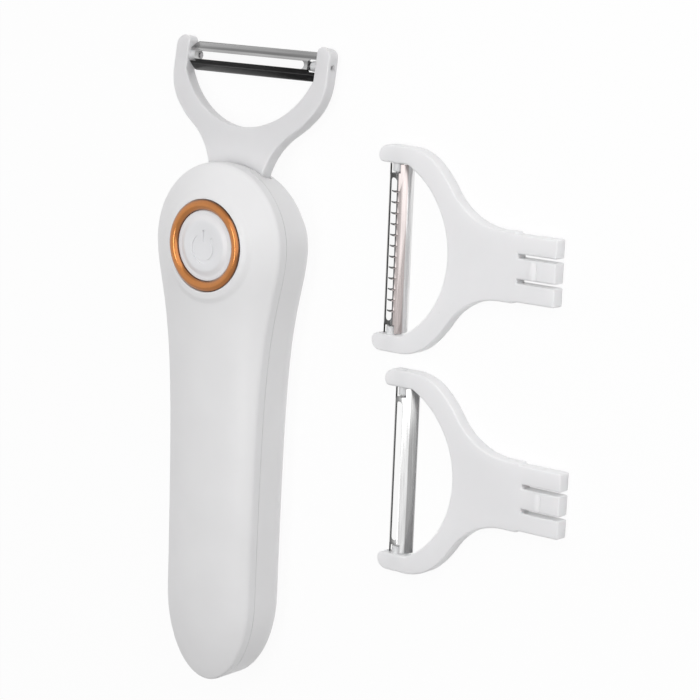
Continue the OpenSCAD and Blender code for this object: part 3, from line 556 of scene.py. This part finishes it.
def rear_shell(head):
    """Rear cover: side band, rounded back, mouth of the head, charging port, screw wells."""
    turns = [math.pi / 2 * k / BACK_N for k in range(BACK_N + 1)]

    def back(d, low):
        """Rows of the rounded back, d inside the outline, down to one height."""
        made = []
        for a in turns:
            s = 1 - (1 - BACK_LAND) * (1 - math.cos(a))
            made.append(scaled_row(d, s, low + (BACK_ROUND_H - low) * (1 - math.sin(a))))
        return made

    n = len(outline())
    rows = back(WALL, WALL)[::-1]
    rows += [scaled_row(WALL, 1, PART_Z), scaled_row(SEAM_DEEP, 1, PART_Z)]
    rows += [scaled_row(d, 1, PART_Z - SEAM_H) for d in (SEAM_DEEP, 0)]
    rows.append(scaled_row(0, 1, (PART_Z + BACK_ROUND_H) / 2))
    rows += back(0, 0)
    verts = [leaned(p) for row in rows for p in row]
    faces = rows_to_faces(len(rows), n, False)
    faces += cap_faces(0, n) + cap_faces((len(rows) - 1) * n, n)
    shell = mesh_object("rear_shell", verts, faces)

    wells, posts = screw_wells()
    combine(shell, posts, "UNION")
    combine(shell, wells + [charging_port()] + head_mouth(head), "DIFFERENCE")
    return tidy(shell)


def trim_ring():
    """Convex metal ring with its collar."""
    mid = RING_R - RING_W / 2
    half = RING_W / 2
    crown_r = (half**2 + RING_CROWN**2) / (2 * RING_CROWN)
    top = []
    for k in range(CROWN_N + 1):
        x = half * math.cos(math.pi * k / CROWN_N)
        top.append((mid + x, RING_TOP_Z - crown_r + math.sqrt(crown_r**2 - x * x)))
    profile = [(RING_R - RING_EDGE, RING_SEAT_Z)]
    profile += [(RING_R, RING_SEAT_Z + RING_EDGE), (RING_R, top[0][1] - RING_SHOULDER)]
    profile += top
    profile += [(RING_IN_R, RING_LO.z), (COLLAR_R, RING_LO.z), (COLLAR_R, RING_SEAT_Z)]
    return lathe("trim_ring", profile, RING_N)


def button_cap():
    """Button with a soft dished pad, a keeper flange and an engraved power mark."""
    rim_z = PAD_TOP_Z - PAD_H
    skirt_r = BUTTON_R - BUTTON_WALL
    roof_z = rim_z - BUTTON_WALL
    low = BUTTON_LO.z
    profile = [(AXIS_R, roof_z), (skirt_r, roof_z), (skirt_r, low), (FLANGE_R, low)]
    profile += [(FLANGE_R, low + FLANGE_H), (BUTTON_R, low + FLANGE_H), (BUTTON_R, rim_z - BUTTON_ROUND)]
    profile += [(BUTTON_R - 0.1, rim_z - 0.08), (BUTTON_R - BUTTON_ROUND, rim_z)]
    base = PAD_R + PAD_SLOPE / 2
    for k in range(SLOPE_N + 1):
        t = k / SLOPE_N
        profile.append((base - t * PAD_SLOPE, rim_z + smooth(t) * PAD_H))
    inner = base - PAD_SLOPE - PAD_ROUND
    for k in range(DISH_N + 1):
        r = inner * (1 - k / DISH_N)
        dish = PAD_DISH * (1 - (r / inner) ** 2) ** DISH_POWER
        profile.append((max(r, AXIS_R), PAD_TOP_Z - dish))
    cap = lathe("button_cap", profile, BUTTON_N)
    first, last = 90 + MARK_GAP, 450 - MARK_GAP
    ring = arc(0, -MARK_LOW, MARK_R, first, last, MARK_N)
    ring += arc(0, -MARK_LOW, MARK_R - MARK_W, last, first, MARK_N)
    bar = rectangle(-MARK_W / 2, MARK_W / 2, BAR_Y0, BAR_Y1)
    over = PAD_TOP_Z + 1
    marks = [prism("mark", ring, PAD_TOP_Z - MARK_SINK, over)]
    marks.append(prism("bar", bar, PAD_TOP_Z - BAR_SINK, over))
    combine(cap, marks, "DIFFERENCE")
    return tidy(cap)


# Form of the heads, in a head's own frame: shoulder at y = 0, prongs along +Y

HALF_FORK = FORK_W / 2
INNER_HALF = HALF_FORK - PRONG_W
BOW_R = OPENING_R + BOW_W
FLANGE_Y = FLANGE_W * math.cos(FLANGE_SLOPE)
FLANGE_Z = FLANGE_W * math.sin(FLANGE_SLOPE)
BLADE_TOP_Z = FLANGE_Z / 2 + 0.15
BLADE_LOW_Z = BLADE_TOP_Z - FLANGE_Z
EAR_X = INNER_HALF - BOSS_L - BLADE_GAP
BLADE_HALF_L = INNER_HALF - BLADE_GAP
SLOT_HALF_L = EAR_X - BLADE_T - WEB_L
ROUND_Y = PIVOT_Y - SLOT_W / 2 - FLANGE_Y + BLADE_CORNER_R - OPENING_CLEAR
OPENING_Y = ROUND_Y + math.sqrt(OPENING_R**2 - INNER_HALF**2)


def fork_outline():
    """Outline of a fork with its neck and three tongues."""
    half_neck = NECK_W / 2
    drop = OPENING_Y - NECK_STRAIGHT
    hollow_r = (half_neck**2 + drop**2 - BOW_R**2) / (2 * BOW_R - NECK_W)
    hollow_x = half_neck + hollow_r
    blend_x = HALF_FORK - BLEND_R
    blend_y = OPENING_Y - math.sqrt((BOW_R - BLEND_R) ** 2 - blend_x**2)
    hollow_dir = math.degrees(math.atan2(NECK_STRAIGHT - OPENING_Y, hollow_x))
    blend_dir = math.degrees(math.atan2(blend_y - OPENING_Y, blend_x))
    start = math.degrees(math.acos(INNER_HALF / OPENING_R))
    half_t = TONGUE_W / 2
    latch = LATCH_W / 2
    end = -TONGUE_L
    inner_end = end + TONGUE_SLOT_L
    chamfer_y = end + TONGUE_CHAMFER
    slot_x = latch + TONGUE_SLOT
    half = [(latch - TONGUE_CHAMFER, end), (latch, chamfer_y), (latch, inner_end)]
    half += [(slot_x, inner_end), (slot_x, chamfer_y), (slot_x + TONGUE_CHAMFER, end)]
    half += arc(half_t - TONGUE_ROUND, end + TONGUE_ROUND, TONGUE_ROUND, -90, 0, 5)
    half += [(half_t, 0), (half_neck, 0.5)]
    half += arc(hollow_x, NECK_STRAIGHT, hollow_r, 180, 180 + hollow_dir, 22)
    half += arc(0, OPENING_Y, BOW_R, hollow_dir, blend_dir, 12)[1:]
    half += arc(blend_x, blend_y, BLEND_R, blend_dir, 0, 16)[1:]
    half += arc(HALF_FORK - TIP_OUT_R, FORK_L - TIP_OUT_R, TIP_OUT_R, 0, 90, 12)
    half += arc(INNER_HALF + TIP_IN_R, FORK_L - TIP_IN_R, TIP_IN_R, 90, 180, 8)
    half += arc(0, OPENING_Y, OPENING_R, -start, -90, 36)
    return half + [(-x, y) for x, y in half[-2::-1]]


def bearing_boss(side):
    """Boss on the inner face of one prong, with a fillet at its root and a rounded end."""
    profile = [(AXIS_R, -BOSS_SUNK), (BOSS_R + BOSS_FILLET, -BOSS_SUNK)]
    profile += [(BOSS_R + 0.3, 0.03), (BOSS_R + 0.1, 0.12), (BOSS_R, BOSS_FILLET)]
    profile += [(BOSS_R, BOSS_L - BOSS_ROUND), (BOSS_R - 0.12, BOSS_L - 0.12)]
    profile += [(BOSS_R - BOSS_ROUND, BOSS_L), (AXIS_R, BOSS_L)]
    turn = Matrix.Rotation(-side * math.pi / 2, 4, "Y")
    root = Matrix.Translation((side * INNER_HALF, PIVOT_Y, 0))
    return lathe("boss", profile, BOSS_N, root @ turn)


def latch_ridge():
    """Wedge across the middle tongue."""
    low = PLATE_T / 2 - LATCH_SUNK
    high = PLATE_T / 2 + LATCH_H
    y0 = -LATCH_AT - LATCH_L
    y1 = -LATCH_AT
    half_w = LATCH_W / 2 - LATCH_INSET
    shape = [(y0, low), (y0, PLATE_T / 2 + LATCH_LIP), (y0 + LATCH_RISE_L, high)]
    shape += [(y1 - LATCH_FALL_L, high), (y1, low)]
    return prism("ridge", shape, -half_w, half_w, ALONG_X)


def fork(name, place):
    """Moulded fork with rounded edges, bearing bosses, pivot bores and a latch ridge."""
    body = prism(name, fork_outline(), -PLATE_T / 2, PLATE_T / 2)
    soften(body, EDGE_ROUND, 4, 60)
    combine(body, [bearing_boss(-1), bearing_boss(1), latch_ridge()], "UNION")
    at_pivot = Matrix.Translation((0, PIVOT_Y, 0)) @ ALONG_X
    tools = [prism("bore", disc(BORE_R, BORE_N), -FORK_W, FORK_W, at_pivot)]
    for side in (-1, 1):
        x0, x1 = sorted((side * (HALF_FORK - BORE_SINK), side * FORK_W))
        tools.append(prism("sink", disc(BORE_R + BORE_SINK, BORE_N), x0, x1, at_pivot))
    combine(body, tools, "DIFFERENCE")
    return tidy(put(body, place))


def blade_profile():
    """Folded sheet across the pivot, with a small radius at each bend."""
    top = SLOT_W / 2
    run, rise = math.cos(FLANGE_SLOPE), math.sin(FLANGE_SLOPE)

    def skin(low):
        """Right half of one face of the sheet, low below its upper face."""
        out = (top + FLANGE_Y - low * rise, BLADE_LOW_Z - low * run * 0.6)
        knee = (top - low * math.tan(FLANGE_SLOPE / 2), BLADE_TOP_Z - low)
        before = (knee[0] - BEND * 0.6, knee[1])
        after = (knee[0] + BEND * run, knee[1] - BEND * rise)
        points = [before]
        for t in (0.25, 0.5, 0.75):
            a, b, c = (1 - t) ** 2, 2 * t * (1 - t), t * t
            points.append(tuple(a * p + b * q + c * r for p, q, r in zip(before, knee, after)))
        middle = ((after[0] + out[0]) / 2 + SWELL * rise, (after[1] + out[1]) / 2 + SWELL * run)
        return points + [after, middle, out]

    upper, lower = skin(0.0), skin(BLADE_T)
    right = upper + lower[::-1]
    left = [(-x, z) for x, z in lower] + [(-x, z) for x, z in upper[::-1]]
    return right + left


def tooth_shape():
    """Side view of one slicing tooth: a small curved fang that leans over the slot."""
    edge = -SLOT_W / 2
    top = BLADE_TOP_Z
    low = top - BLADE_T
    back = [(edge - 0.95, low - 0.35), (edge - 0.65, top - 0.05), (edge - 0.4, top + 0.6)]
    back += [(edge - 0.05, top + 1.1), (edge + 0.4, top + 1.35), (edge + 0.85, top + 1.3)]
    front = [(edge + 0.5, top + 0.95), (edge + 0.3, top + 0.5), (edge + 0.22, top + 0.1), (edge + 0.2, low)]
    return back + front


def blade_outline(radius):
    """Outline of a blade seen from above, with round corners."""
    over = 0.01
    x = BLADE_HALF_L - radius + over
    y = SLOT_W / 2 + FLANGE_Y - radius + over
    points = []
    for side_x, side_y, start in ((x, y, 0), (-x, y, 90), (-x, -y, 180), (x, -y, 270)):
        points += arc(side_x, side_y, radius, start, start + 90, 8)
    return points


def ear(side):
    """Lug at one end of the blade, round the pivot."""
    reach = SLOT_W / 2 + 0.2
    top = BLADE_TOP_Z - 0.1
    foot = BORE_R + EAR_ROUND
    shape = [(-reach, top), (-foot, -0.4), (-foot * 0.7, -foot * 0.75), (0, -foot)]
    shape += [(foot * 0.7, -foot * 0.75), (foot, -0.4), (reach, top)]
    x0, x1 = sorted((side * EAR_X, side * (EAR_X - BLADE_T)))
    return prism("ear", shape, x0, x1, ALONG_X)


def boss_notch(side):
    """Room for the bearing boss at one end of the blade."""
    clear = BOSS_R + BOSS_CLEAR
    x0, x1 = sorted((side * EAR_X, side * PAST_END))
    corner = rectangle(x0, x1, -clear, clear)
    return prism("notch", corner, BLADE_TOP_Z - clear, BLADE_TOP_Z + NOTCH_H)


def fang(k):
    """One slicing tooth, sheared along the blade."""
    x = (k - (TOOTH_N - 1) / 2) * TOOTH_PITCH
    lean = Matrix.Identity(4)
    lean[0][1] = TOOTH_LEAN
    return prism("fang", tooth_shape(), x - TOOTH_T / 2, x + TOOTH_T / 2, lean @ ALONG_X)


def blade(name, place, teeth):
    """Slotted blade of folded sheet with an ear at each end."""
    body = prism(name, blade_profile(), -BLADE_HALF_L, BLADE_HALF_L, ALONG_X)
    corner_r = BLADE_CORNER_R if teeth else PLAIN_CORNER_R
    combine(body, [prism("outline", blade_outline(corner_r), -PAST_TOP, PAST_TOP)], "INTERSECT")
    combine(body, [ear(-1), ear(1)], "UNION")
    at_top = Matrix.Translation((0, 0, BLADE_TOP_Z))
    slot = stadium(2 * SLOT_HALF_L, SLOT_W, SLOT_N)
    tools = [prism("slot", slot, -SLOT_CUT, SLOT_CUT, at_top)]
    tools += [boss_notch(-1), boss_notch(1)]
    tools.append(prism("bore", disc(BORE_R - PIN_FIT, PIN_N), -FORK_W, FORK_W, ALONG_X))
    combine(body, tools, "DIFFERENCE")
    if teeth:
        combine(body, [fang(k) for k in range(TOOTH_N)], "UNION")
    tidy(body)
    soften(body, BLADE_ROUND, 2, 50)
    put(body, place @ Matrix.Translation((0, PIVOT_Y, 0)))
    return tidy(body, BLADE_WELD)


def head_place(swivel, along):
    """Matrix of a head's own frame from its pivot and the direction of its prongs."""
    y = Vector(along).normalized()
    x = Vector(joints[swivel]["axis"])
    z = x.cross(y)
    origin = Vector(joints[swivel]["pos_m"]) / MM - y * PIVOT_Y
    turn = Matrix((x, y, z)).transposed().to_4x4()
    return Matrix.Translation(origin) @ turn


# Materials: scales of the noises are per metre, depths of the bumps in metres

CLOUD_SCALE = 45.0
PATCH_SCALE = 240.0
GRAIN_SCALE = 2600.0
GRAIN_DEEP = 0.0001
STREAK_DEEP = 0.00005
TARNISH_SCALE = 300.0
PLATING_SCALE = 3000.0
PLATING_DEEP = 0.00005
GROUND_SCALE = 2200.0
GROUND_DEEP = 0.00003
WEAR_SCALE = 38.0


def new_material(name):
    """New material, its node tree and its Principled shader."""
    mat = bpy.data.materials.new(name)
    mat.use_nodes = True
    tree = mat.node_tree
    shader = tree.nodes["Principled BSDF"]
    return mat, tree, shader


def add(tree, kind, **values):
    """New node with its sockets and settings given by name."""
    node = tree.nodes.new(kind)
    for key, value in values.items():
        if key in node.inputs:
            node.inputs[key].default_value = value
        else:
            setattr(node, key, value)
    return node


def noise(tree, coords, scale, detail=2.0, rough=0.5):
    """Noise texture in object space."""
    node = add(tree, "ShaderNodeTexNoise", Scale=scale, Detail=detail, Roughness=rough)
    tree.links.new(coords, node.inputs["Vector"])
    return node.outputs["Fac"]


def ramp(tree, factor, *stops):
    """Colour ramp from (place, colour) stops."""
    node = tree.nodes.new("ShaderNodeValToRGB")
    band = node.color_ramp
    while len(band.elements) < len(stops):
        band.elements.new(0.5)
    for element, (at, colour) in zip(band.elements, stops):
        element.position = at
        element.color = (*colour, 1)
    tree.links.new(factor, node.inputs["Fac"])
    return node.outputs["Color"]


def span(tree, factor, low, high):
    """Maps 0..1 onto low..high."""
    node = add(tree, "ShaderNodeMapRange", **{"To Min": low, "To Max": high})
    tree.links.new(factor, node.inputs["Value"])
    return node.outputs["Result"]


def share_of(tree, value, first, last):
    """Maps first..last onto 0..1."""
    node = add(tree, "ShaderNodeMapRange", **{"From Min": first, "From Max": last})
    tree.links.new(value, node.inputs["Value"])
    return node.outputs["Result"]


def distance_along(tree, coords, direction):
    """How far the coordinates reach along a direction."""
    node = add(tree, "ShaderNodeVectorMath", operation="DOT_PRODUCT")
    tree.links.new(coords, node.inputs[0])
    node.inputs[1].default_value = direction
    return node.outputs["Value"]


def multiply(tree, first, second):
    """Product of two colours."""
    node = add(tree, "ShaderNodeMix", data_type="RGBA", blend_type="MULTIPLY")
    node.inputs[0].default_value = 1.0
    tree.links.new(first, node.inputs[6])
    tree.links.new(second, node.inputs[7])
    return node.outputs[2]


def grey(level):
    """Colour without hue."""
    return (level, level, level)


def stretched(tree, coords, scale):
    """Object coordinates scaled along each axis."""
    node = tree.nodes.new("ShaderNodeMapping")
    node.inputs["Scale"].default_value = scale
    tree.links.new(coords, node.inputs["Vector"])
    return node.outputs["Vector"]


def bump(tree, shader, height, strength, distance):
    """Bump on the shader's normal."""
    node = add(tree, "ShaderNodeBump", Strength=strength, Distance=distance)
    tree.links.new(height, node.inputs["Height"])
    tree.links.new(node.outputs["Normal"], shader.inputs["Normal"])


def object_coords(tree):
    """Object-space coordinates, in metres."""
    return tree.nodes.new("ShaderNodeTexCoord").outputs["Object"]


def plastic(name, light, shadow, gloss, grain=0.03, coat=0.0):
    """Moulded plastic: faint cloudiness, fine mould grain, uneven gloss."""
    mat, tree, shader = new_material(name)
    coords = object_coords(tree)
    cloud = noise(tree, coords, CLOUD_SCALE, 3.0)
    tree.links.new(ramp(tree, cloud, (0.3, shadow), (0.7, light)), shader.inputs["Base Color"])
    fine = noise(tree, coords, GRAIN_SCALE, 2.0)
    patches = noise(tree, coords, PATCH_SCALE, 3.0)
    tree.links.new(span(tree, patches, gloss - 0.05, gloss + 0.05), shader.inputs["Roughness"])
    bump(tree, shader, fine, grain, GRAIN_DEEP)
    shader.inputs["Specular IOR Level"].default_value = 0.45
    shader.inputs["Coat Weight"].default_value = coat
    shader.inputs["Coat Roughness"].default_value = 0.2
    return mat


def metal(name, light, shadow, gloss, stretch, scale=600.0, grain=0.05):
    """Metal with streaks along the direction of working."""
    mat, tree, shader = new_material(name)
    coords = object_coords(tree)
    lines = noise(tree, stretched(tree, coords, stretch), scale, 4.0, 0.6)
    tree.links.new(ramp(tree, lines, (0.3, shadow), (0.7, light)), shader.inputs["Base Color"])
    tree.links.new(span(tree, lines, gloss - 0.06, gloss + 0.08), shader.inputs["Roughness"])
    shader.inputs["Metallic"].default_value = 1.0
    bump(tree, shader, lines, grain, STREAK_DEEP)
    return mat


def dress(obj, material):
    """Gives an object one material."""
    obj.data.materials.clear()
    obj.data.materials.append(material)
    return obj


SHELL = plastic("white_shell", (0.84, 0.84, 0.84), (0.81, 0.81, 0.81), 0.34, 0.03, 0.1)
BUTTON = plastic("white_button", (0.82, 0.825, 0.835), (0.80, 0.805, 0.815), 0.32, 0.02, 0.1)
FORK = plastic("white_fork", (0.74, 0.74, 0.745), (0.71, 0.71, 0.715), 0.3, 0.02, 0.1)
# Painted light: the spare forks are the attached fork's white moulding in a lighter copy, standing for the
# stronger light on them.
SPARE_FORK_PAINTED_LIGHTER = plastic("white_spare_fork_painted_lighter", (0.87, 0.87, 0.875), (0.84, 0.84, 0.845), 0.3, 0.02, 0.1)
for milky in (FORK, SPARE_FORK_PAINTED_LIGHTER):
    skin = milky.node_tree.nodes["Principled BSDF"]
    skin.inputs["Subsurface Weight"].default_value = 0.6
    skin.inputs["Subsurface Radius"].default_value = (1.0, 0.95, 0.95)
    skin.inputs["Subsurface Scale"].default_value = 0.004
INNER = plastic("inner_plastic", (0.66, 0.66, 0.66), (0.6, 0.6, 0.6), 0.5, 0.06)
DARK = plastic("dark_plastic", (0.03, 0.03, 0.033), (0.02, 0.02, 0.022), 0.45, 0.06)
BOARD = plastic("green_board", (0.02, 0.14, 0.06), (0.012, 0.1, 0.04), 0.4, 0.05)
SLEEVE = plastic("cell_sleeve", (0.03, 0.12, 0.36), (0.025, 0.1, 0.3), 0.35, 0.03)
RED_LEAD = plastic("red_lead", (0.42, 0.02, 0.015), (0.34, 0.015, 0.012), 0.5, 0.04)
YELLOW_LEAD = plastic("yellow_lead", (0.62, 0.38, 0.03), (0.54, 0.32, 0.02), 0.5, 0.04)
FERRITE = plastic("ferrite", (0.05, 0.05, 0.055), (0.03, 0.03, 0.034), 0.7, 0.2)
PIN = metal("dull_pin", (0.42, 0.41, 0.42), (0.33, 0.325, 0.33), 0.35, (0.05, 1, 1))
STEEL = metal("plain_steel", (0.62, 0.62, 0.64), (0.5, 0.5, 0.52), 0.3, (1, 0.05, 1))
SCREW = metal("zinc_screw", (0.6, 0.6, 0.62), (0.45, 0.45, 0.47), 0.32, (1, 1, 1), 900.0)
BRASS = metal("turned_brass", (0.74, 0.52, 0.2), (0.62, 0.42, 0.15), 0.28, (1, 0.1, 1))
WINDING = metal("copper_winding", (0.72, 0.28, 0.1), (0.4, 0.12, 0.04), 0.35, (0.1, 1, 0.1), 900.0)


def copper():
    """Satin copper plating, with painted shade darkening the ring's inner and outer flanks."""
    mat, tree, shader = new_material("satin_copper")
    coords = object_coords(tree)
    flat = stretched(tree, coords, (1, 1, 0))
    length = add(tree, "ShaderNodeVectorMath", operation="LENGTH")
    tree.links.new(flat, length.inputs[0])
    # Painted shade: the dark first and last stops of this ramp darken the ring's inner and outer flanks.
    across = ramp(
        tree,
        share_of(tree, length.outputs["Value"], RING_IN_R * MM, RING_R * MM),
        (0.0, (0.26, 0.095, 0.03)),
        (0.06, (0.36, 0.124, 0.018)),
        (0.5, (0.37, 0.13, 0.02)),
        (0.88, (0.34, 0.115, 0.017)),
        (1.0, (0.11, 0.033, 0.006)),
    )
    cloud = noise(tree, coords, TARNISH_SCALE, 3.0)
    tint = multiply(tree, across, ramp(tree, cloud, (0.3, grey(0.9)), (0.7, grey(1))))
    tree.links.new(tint, shader.inputs["Base Color"])
    tree.links.new(span(tree, cloud, 0.17, 0.22), shader.inputs["Roughness"])
    shader.inputs["Metallic"].default_value = 1.0
    shader.inputs["Coat Weight"].default_value = 0.8
    shader.inputs["Coat Roughness"].default_value = 0.13
    bump(tree, shader, noise(tree, coords, PLATING_SCALE), 0.03, PLATING_DEEP)
    return mat


COPPER = copper()

# Half of the width across a blade on which its painted reflection strips are placed, in mm
STRIP_HALF = 5.3


def steel_with_painted_reflections(name, pivot, across, stretch, *zones):
    """Ground sheet steel with painted reflections in strips along the blade; zones are (mm from the pivot,
    colour).
    """
    mat, tree, shader = new_material(name)
    coords = object_coords(tree)
    middle = Vector(pivot).dot(Vector(across))
    first, last = middle - STRIP_HALF * MM, middle + STRIP_HALF * MM
    place = share_of(tree, distance_along(tree, coords, across), first, last)
    # Painted reflections: light strips are painted highlights and reflections, dark strips are painted dark
    # reflections.
    painted_reflection_strips = ramp(tree, place, *[((u + STRIP_HALF) / (2 * STRIP_HALF), colour) for u, colour in zones])
    lines = noise(tree, stretched(tree, coords, stretch), GROUND_SCALE, 4.0, 0.6)
    grain_and_painted_reflections = multiply(tree, painted_reflection_strips, ramp(tree, lines, (0.3, grey(0.76)), (0.7, grey(1))))
    broad = noise(tree, coords, WEAR_SCALE, 1.0)
    wear_grain_and_painted_reflections = multiply(tree, grain_and_painted_reflections, ramp(tree, broad, (0.3, grey(0.86)), (0.65, grey(1))))
    tree.links.new(wear_grain_and_painted_reflections, shader.inputs["Base Color"])
    tree.links.new(span(tree, lines, 0.17, 0.27), shader.inputs["Roughness"])
    shader.inputs["Metallic"].default_value = 1.0
    bump(tree, shader, lines, 0.04, GROUND_DEEP)
    return mat


for finish, names in (
    (SCREW, ("case_screws", "board_screws", "socket_screws", "clamp_screws")),
    (INNER, ("head_socket", "motor_clamp", "battery_tray")),
    (DARK, ("tact_plunger", "board_parts", "motor_end_cap")),
    (BOARD, ("control_board", "charge_board")),
    (STEEL, ("tact_switch", "motor_can", "motor_shaft", "charge_socket")),
    (PIN, ("peeler_pins", "julienne_pins", "spare_pins")),
    (BRASS, ("motor_bush", "eccentric_weight")),
    (WINDING, ("armature",)),
    (FERRITE, ("motor_magnets",)),
    (SLEEVE, ("battery_cell",)),
    (RED_LEAD, ("motor_leads", "battery_leads")),
    (YELLOW_LEAD, ("charge_leads",)),
):
    for name in names:
        dress(nodes[name], finish)


def finish_piece(obj, material, body, node, angle=32):
    """Material, shading and body of a piece, and hides the CAD node that it stands for."""
    dress(obj, material)
    shade(obj, angle)
    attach(obj, body)
    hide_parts(node)
    return obj


PEELER_AT = head_place("blade_swivel", joints["head_pull"]["axis"])
JULIENNE_AT = head_place("julienne_swivel", (-1, 0, 0))
SPARE_AT = head_place("spare_swivel", (-1, 0, 0))

finish_piece(front_shell(), SHELL, "handle", "front_cover")
finish_piece(rear_shell(PEELER_AT), SHELL, "handle", "rear_cover")
finish_piece(trim_ring(), COPPER, "handle", "accent_ring", 40)
finish_piece(button_cap(), BUTTON, "button", "power_button", 40)
HEADS = (
    ("peeler", PEELER_AT, "head", "blade"),
    ("julienne", JULIENNE_AT, "julienne_head", "julienne_swivel_blade"),
    ("spare", SPARE_AT, "spare_head", "spare_swivel_blade"),
)

# Painted reflection strips of the blades, light for painted highlights and reflections, dark for painted
# dark reflections, from the neck to the tips: mm from the pivot, and grey or colour
PINK_STEEL = (0.58, 0.52, 0.51)
BLADE_PAINTED_REFLECTIONS = {
    "peeler": (
        (-4.9, 0.03), (-3.1, 0.022), (-2.9, 0.13), (-2.7, 0.022), (-1.4, 0.022), (-1.3, 0.45),
        (1.3, 0.22), (1.45, 0.5), (2.2, 0.5), (2.5, 0.22), (3.1, 0.24),
        (3.6, 0.36), (4.6, 0.36), (4.85, 0.25),
    ),
    "julienne": (
        (-4.9, 0.8), (-4.75, 0.98), (-3.8, 0.98), (-3.6, PINK_STEEL), (-1.75, PINK_STEEL),
        (-1.6, 0.1), (1.5, 0.06), (4.4, 0.06), (4.7, 0.3),
    ),
    "spare": (
        (-4.9, 0.52), (-4.7, 0.43), (-3.2, 0.43), (-3.0, 0.9), (-1.5, 0.9), (-1.3, 0.5),
        (1.3, 0.11), (2.5, 0.12), (2.7, 0.25), (3.7, 0.26), (3.9, 0.75),
    ),
}
for head, place, head_body, blade_body in HEADS:
    white = FORK if head == "peeler" else SPARE_FORK_PAINTED_LIGHTER
    made = finish_piece(fork(head + "_moulding", place), white, head_body, head + "_fork", 40)
    even_normals(made)
    sheet = blade(head + "_edge", place, head == "julienne")
    axes = place.to_3x3()
    stretch = (0.03, 1, 1) if head == "peeler" else (1, 0.03, 1)
    pivot = place @ Vector((0, PIVOT_Y, 0)) * MM
    zones = [(u, c if isinstance(c, tuple) else grey(c)) for u, c in BLADE_PAINTED_REFLECTIONS[head]]
    steel = steel_with_painted_reflections(head + "_steel", pivot, axes.col[1], stretch, *zones)
    finish_piece(sheet, steel, blade_body, head + "_blade", 40)


# Floor, light and background

FLOOR_HALF = 3000.0
FLOOR_Z = -0.05
FLOOR_GLOW = 0.93
ROOM_STRENGTH = 0.43


def light_path_mask(tree):
    """1 for camera, glossy and transmission rays."""
    path = tree.nodes.new("ShaderNodeLightPath")
    both = add(tree, "ShaderNodeMath", operation="MAXIMUM")
    tree.links.new(path.outputs["Is Camera Ray"], both.inputs[0])
    tree.links.new(path.outputs["Is Glossy Ray"], both.inputs[1])
    every = add(tree, "ShaderNodeMath", operation="MAXIMUM")
    tree.links.new(both.outputs[0], every.inputs[0])
    tree.links.new(path.outputs["Is Transmission Ray"], every.inputs[1])
    return every.outputs[0]


def make_floor():
    """Pale floor that stays white and keeps a soft shadow."""
    corners = rectangle(-FLOOR_HALF, FLOOR_HALF, -FLOOR_HALF, FLOOR_HALF)
    floor = mesh_object("floor", [(x, y, FLOOR_Z) for x, y in corners], [(0, 1, 2, 3)])
    mat = bpy.data.materials.new("pale_floor")
    mat.use_nodes = True
    tree = mat.node_tree
    tree.nodes.clear()
    out = tree.nodes.new("ShaderNodeOutputMaterial")
    pale = add(tree, "ShaderNodeBsdfDiffuse", Color=(0.95, 0.95, 0.95, 1))
    white = add(tree, "ShaderNodeEmission", Color=(1, 1, 1, 1), Strength=1.0)
    share = add(tree, "ShaderNodeMath", operation="MULTIPLY")
    tree.links.new(light_path_mask(tree), share.inputs[0])
    share.inputs[1].default_value = FLOOR_GLOW
    mix = tree.nodes.new("ShaderNodeMixShader")
    tree.links.new(share.outputs[0], mix.inputs[0])
    tree.links.new(pale.outputs[0], mix.inputs[1])
    tree.links.new(white.outputs[0], mix.inputs[2])
    tree.links.new(mix.outputs[0], out.inputs["Surface"])
    floor.data.materials.append(mat)


def make_world():
    """Soft room light, lower from the tail's side, white where it is seen."""
    world = bpy.data.worlds.new("room")
    scene.world = world
    world.use_nodes = True
    tree = world.node_tree
    tree.nodes.clear()
    out = tree.nodes.new("ShaderNodeOutputWorld")
    coords = tree.nodes.new("ShaderNodeTexCoord")
    side = share_of(tree, distance_along(tree, coords.outputs["Generated"], (0, 1, 0)), -1.0, 1.0)
    light = ramp(tree, side, (0.1, (0.16, 0.157, 0.162)), (0.75, (1.0, 0.985, 1.01)))
    room = add(tree, "ShaderNodeBackground", Strength=ROOM_STRENGTH)
    tree.links.new(light, room.inputs["Color"])
    white = add(tree, "ShaderNodeBackground", Color=(1, 1, 1, 1), Strength=1.0)
    mix = tree.nodes.new("ShaderNodeMixShader")
    tree.links.new(light_path_mask(tree), mix.inputs[0])
    tree.links.new(room.outputs[0], mix.inputs[1])
    tree.links.new(white.outputs[0], mix.inputs[2])
    tree.links.new(mix.outputs[0], out.inputs["Surface"])


def soft_box(name, place, aim, size, watts, length=None):
    """Area light, square unless a length is given."""
    data = bpy.data.lights.new(name, "AREA")
    data.shape = "RECTANGLE"
    data.size = size
    data.size_y = length or size
    data.energy = watts
    lamp = bpy.data.objects.new(name, data)
    place, aim = Vector(place), Vector(aim)
    lamp.location = place
    lamp.rotation_mode = "QUATERNION"
    lamp.rotation_quaternion = (aim - place).to_track_quat("-Z", "Y")
    scene.collection.objects.link(lamp)


make_floor()
make_world()
soft_box("key", (0.4, 0.2, 0.4), (0.02, 0.0, 0.0), size=0.7, watts=1.9)
soft_box("top", (0.0, -0.04, 0.85), (0.0, -0.04, 0.0), size=0.15, watts=1.4, length=0.5)
soft_box("fill", (-0.4, 0.16, 0.54), (0.0, 0.0, 0.0), size=1.0, watts=1.25)

scene.view_settings.view_transform = "Standard"
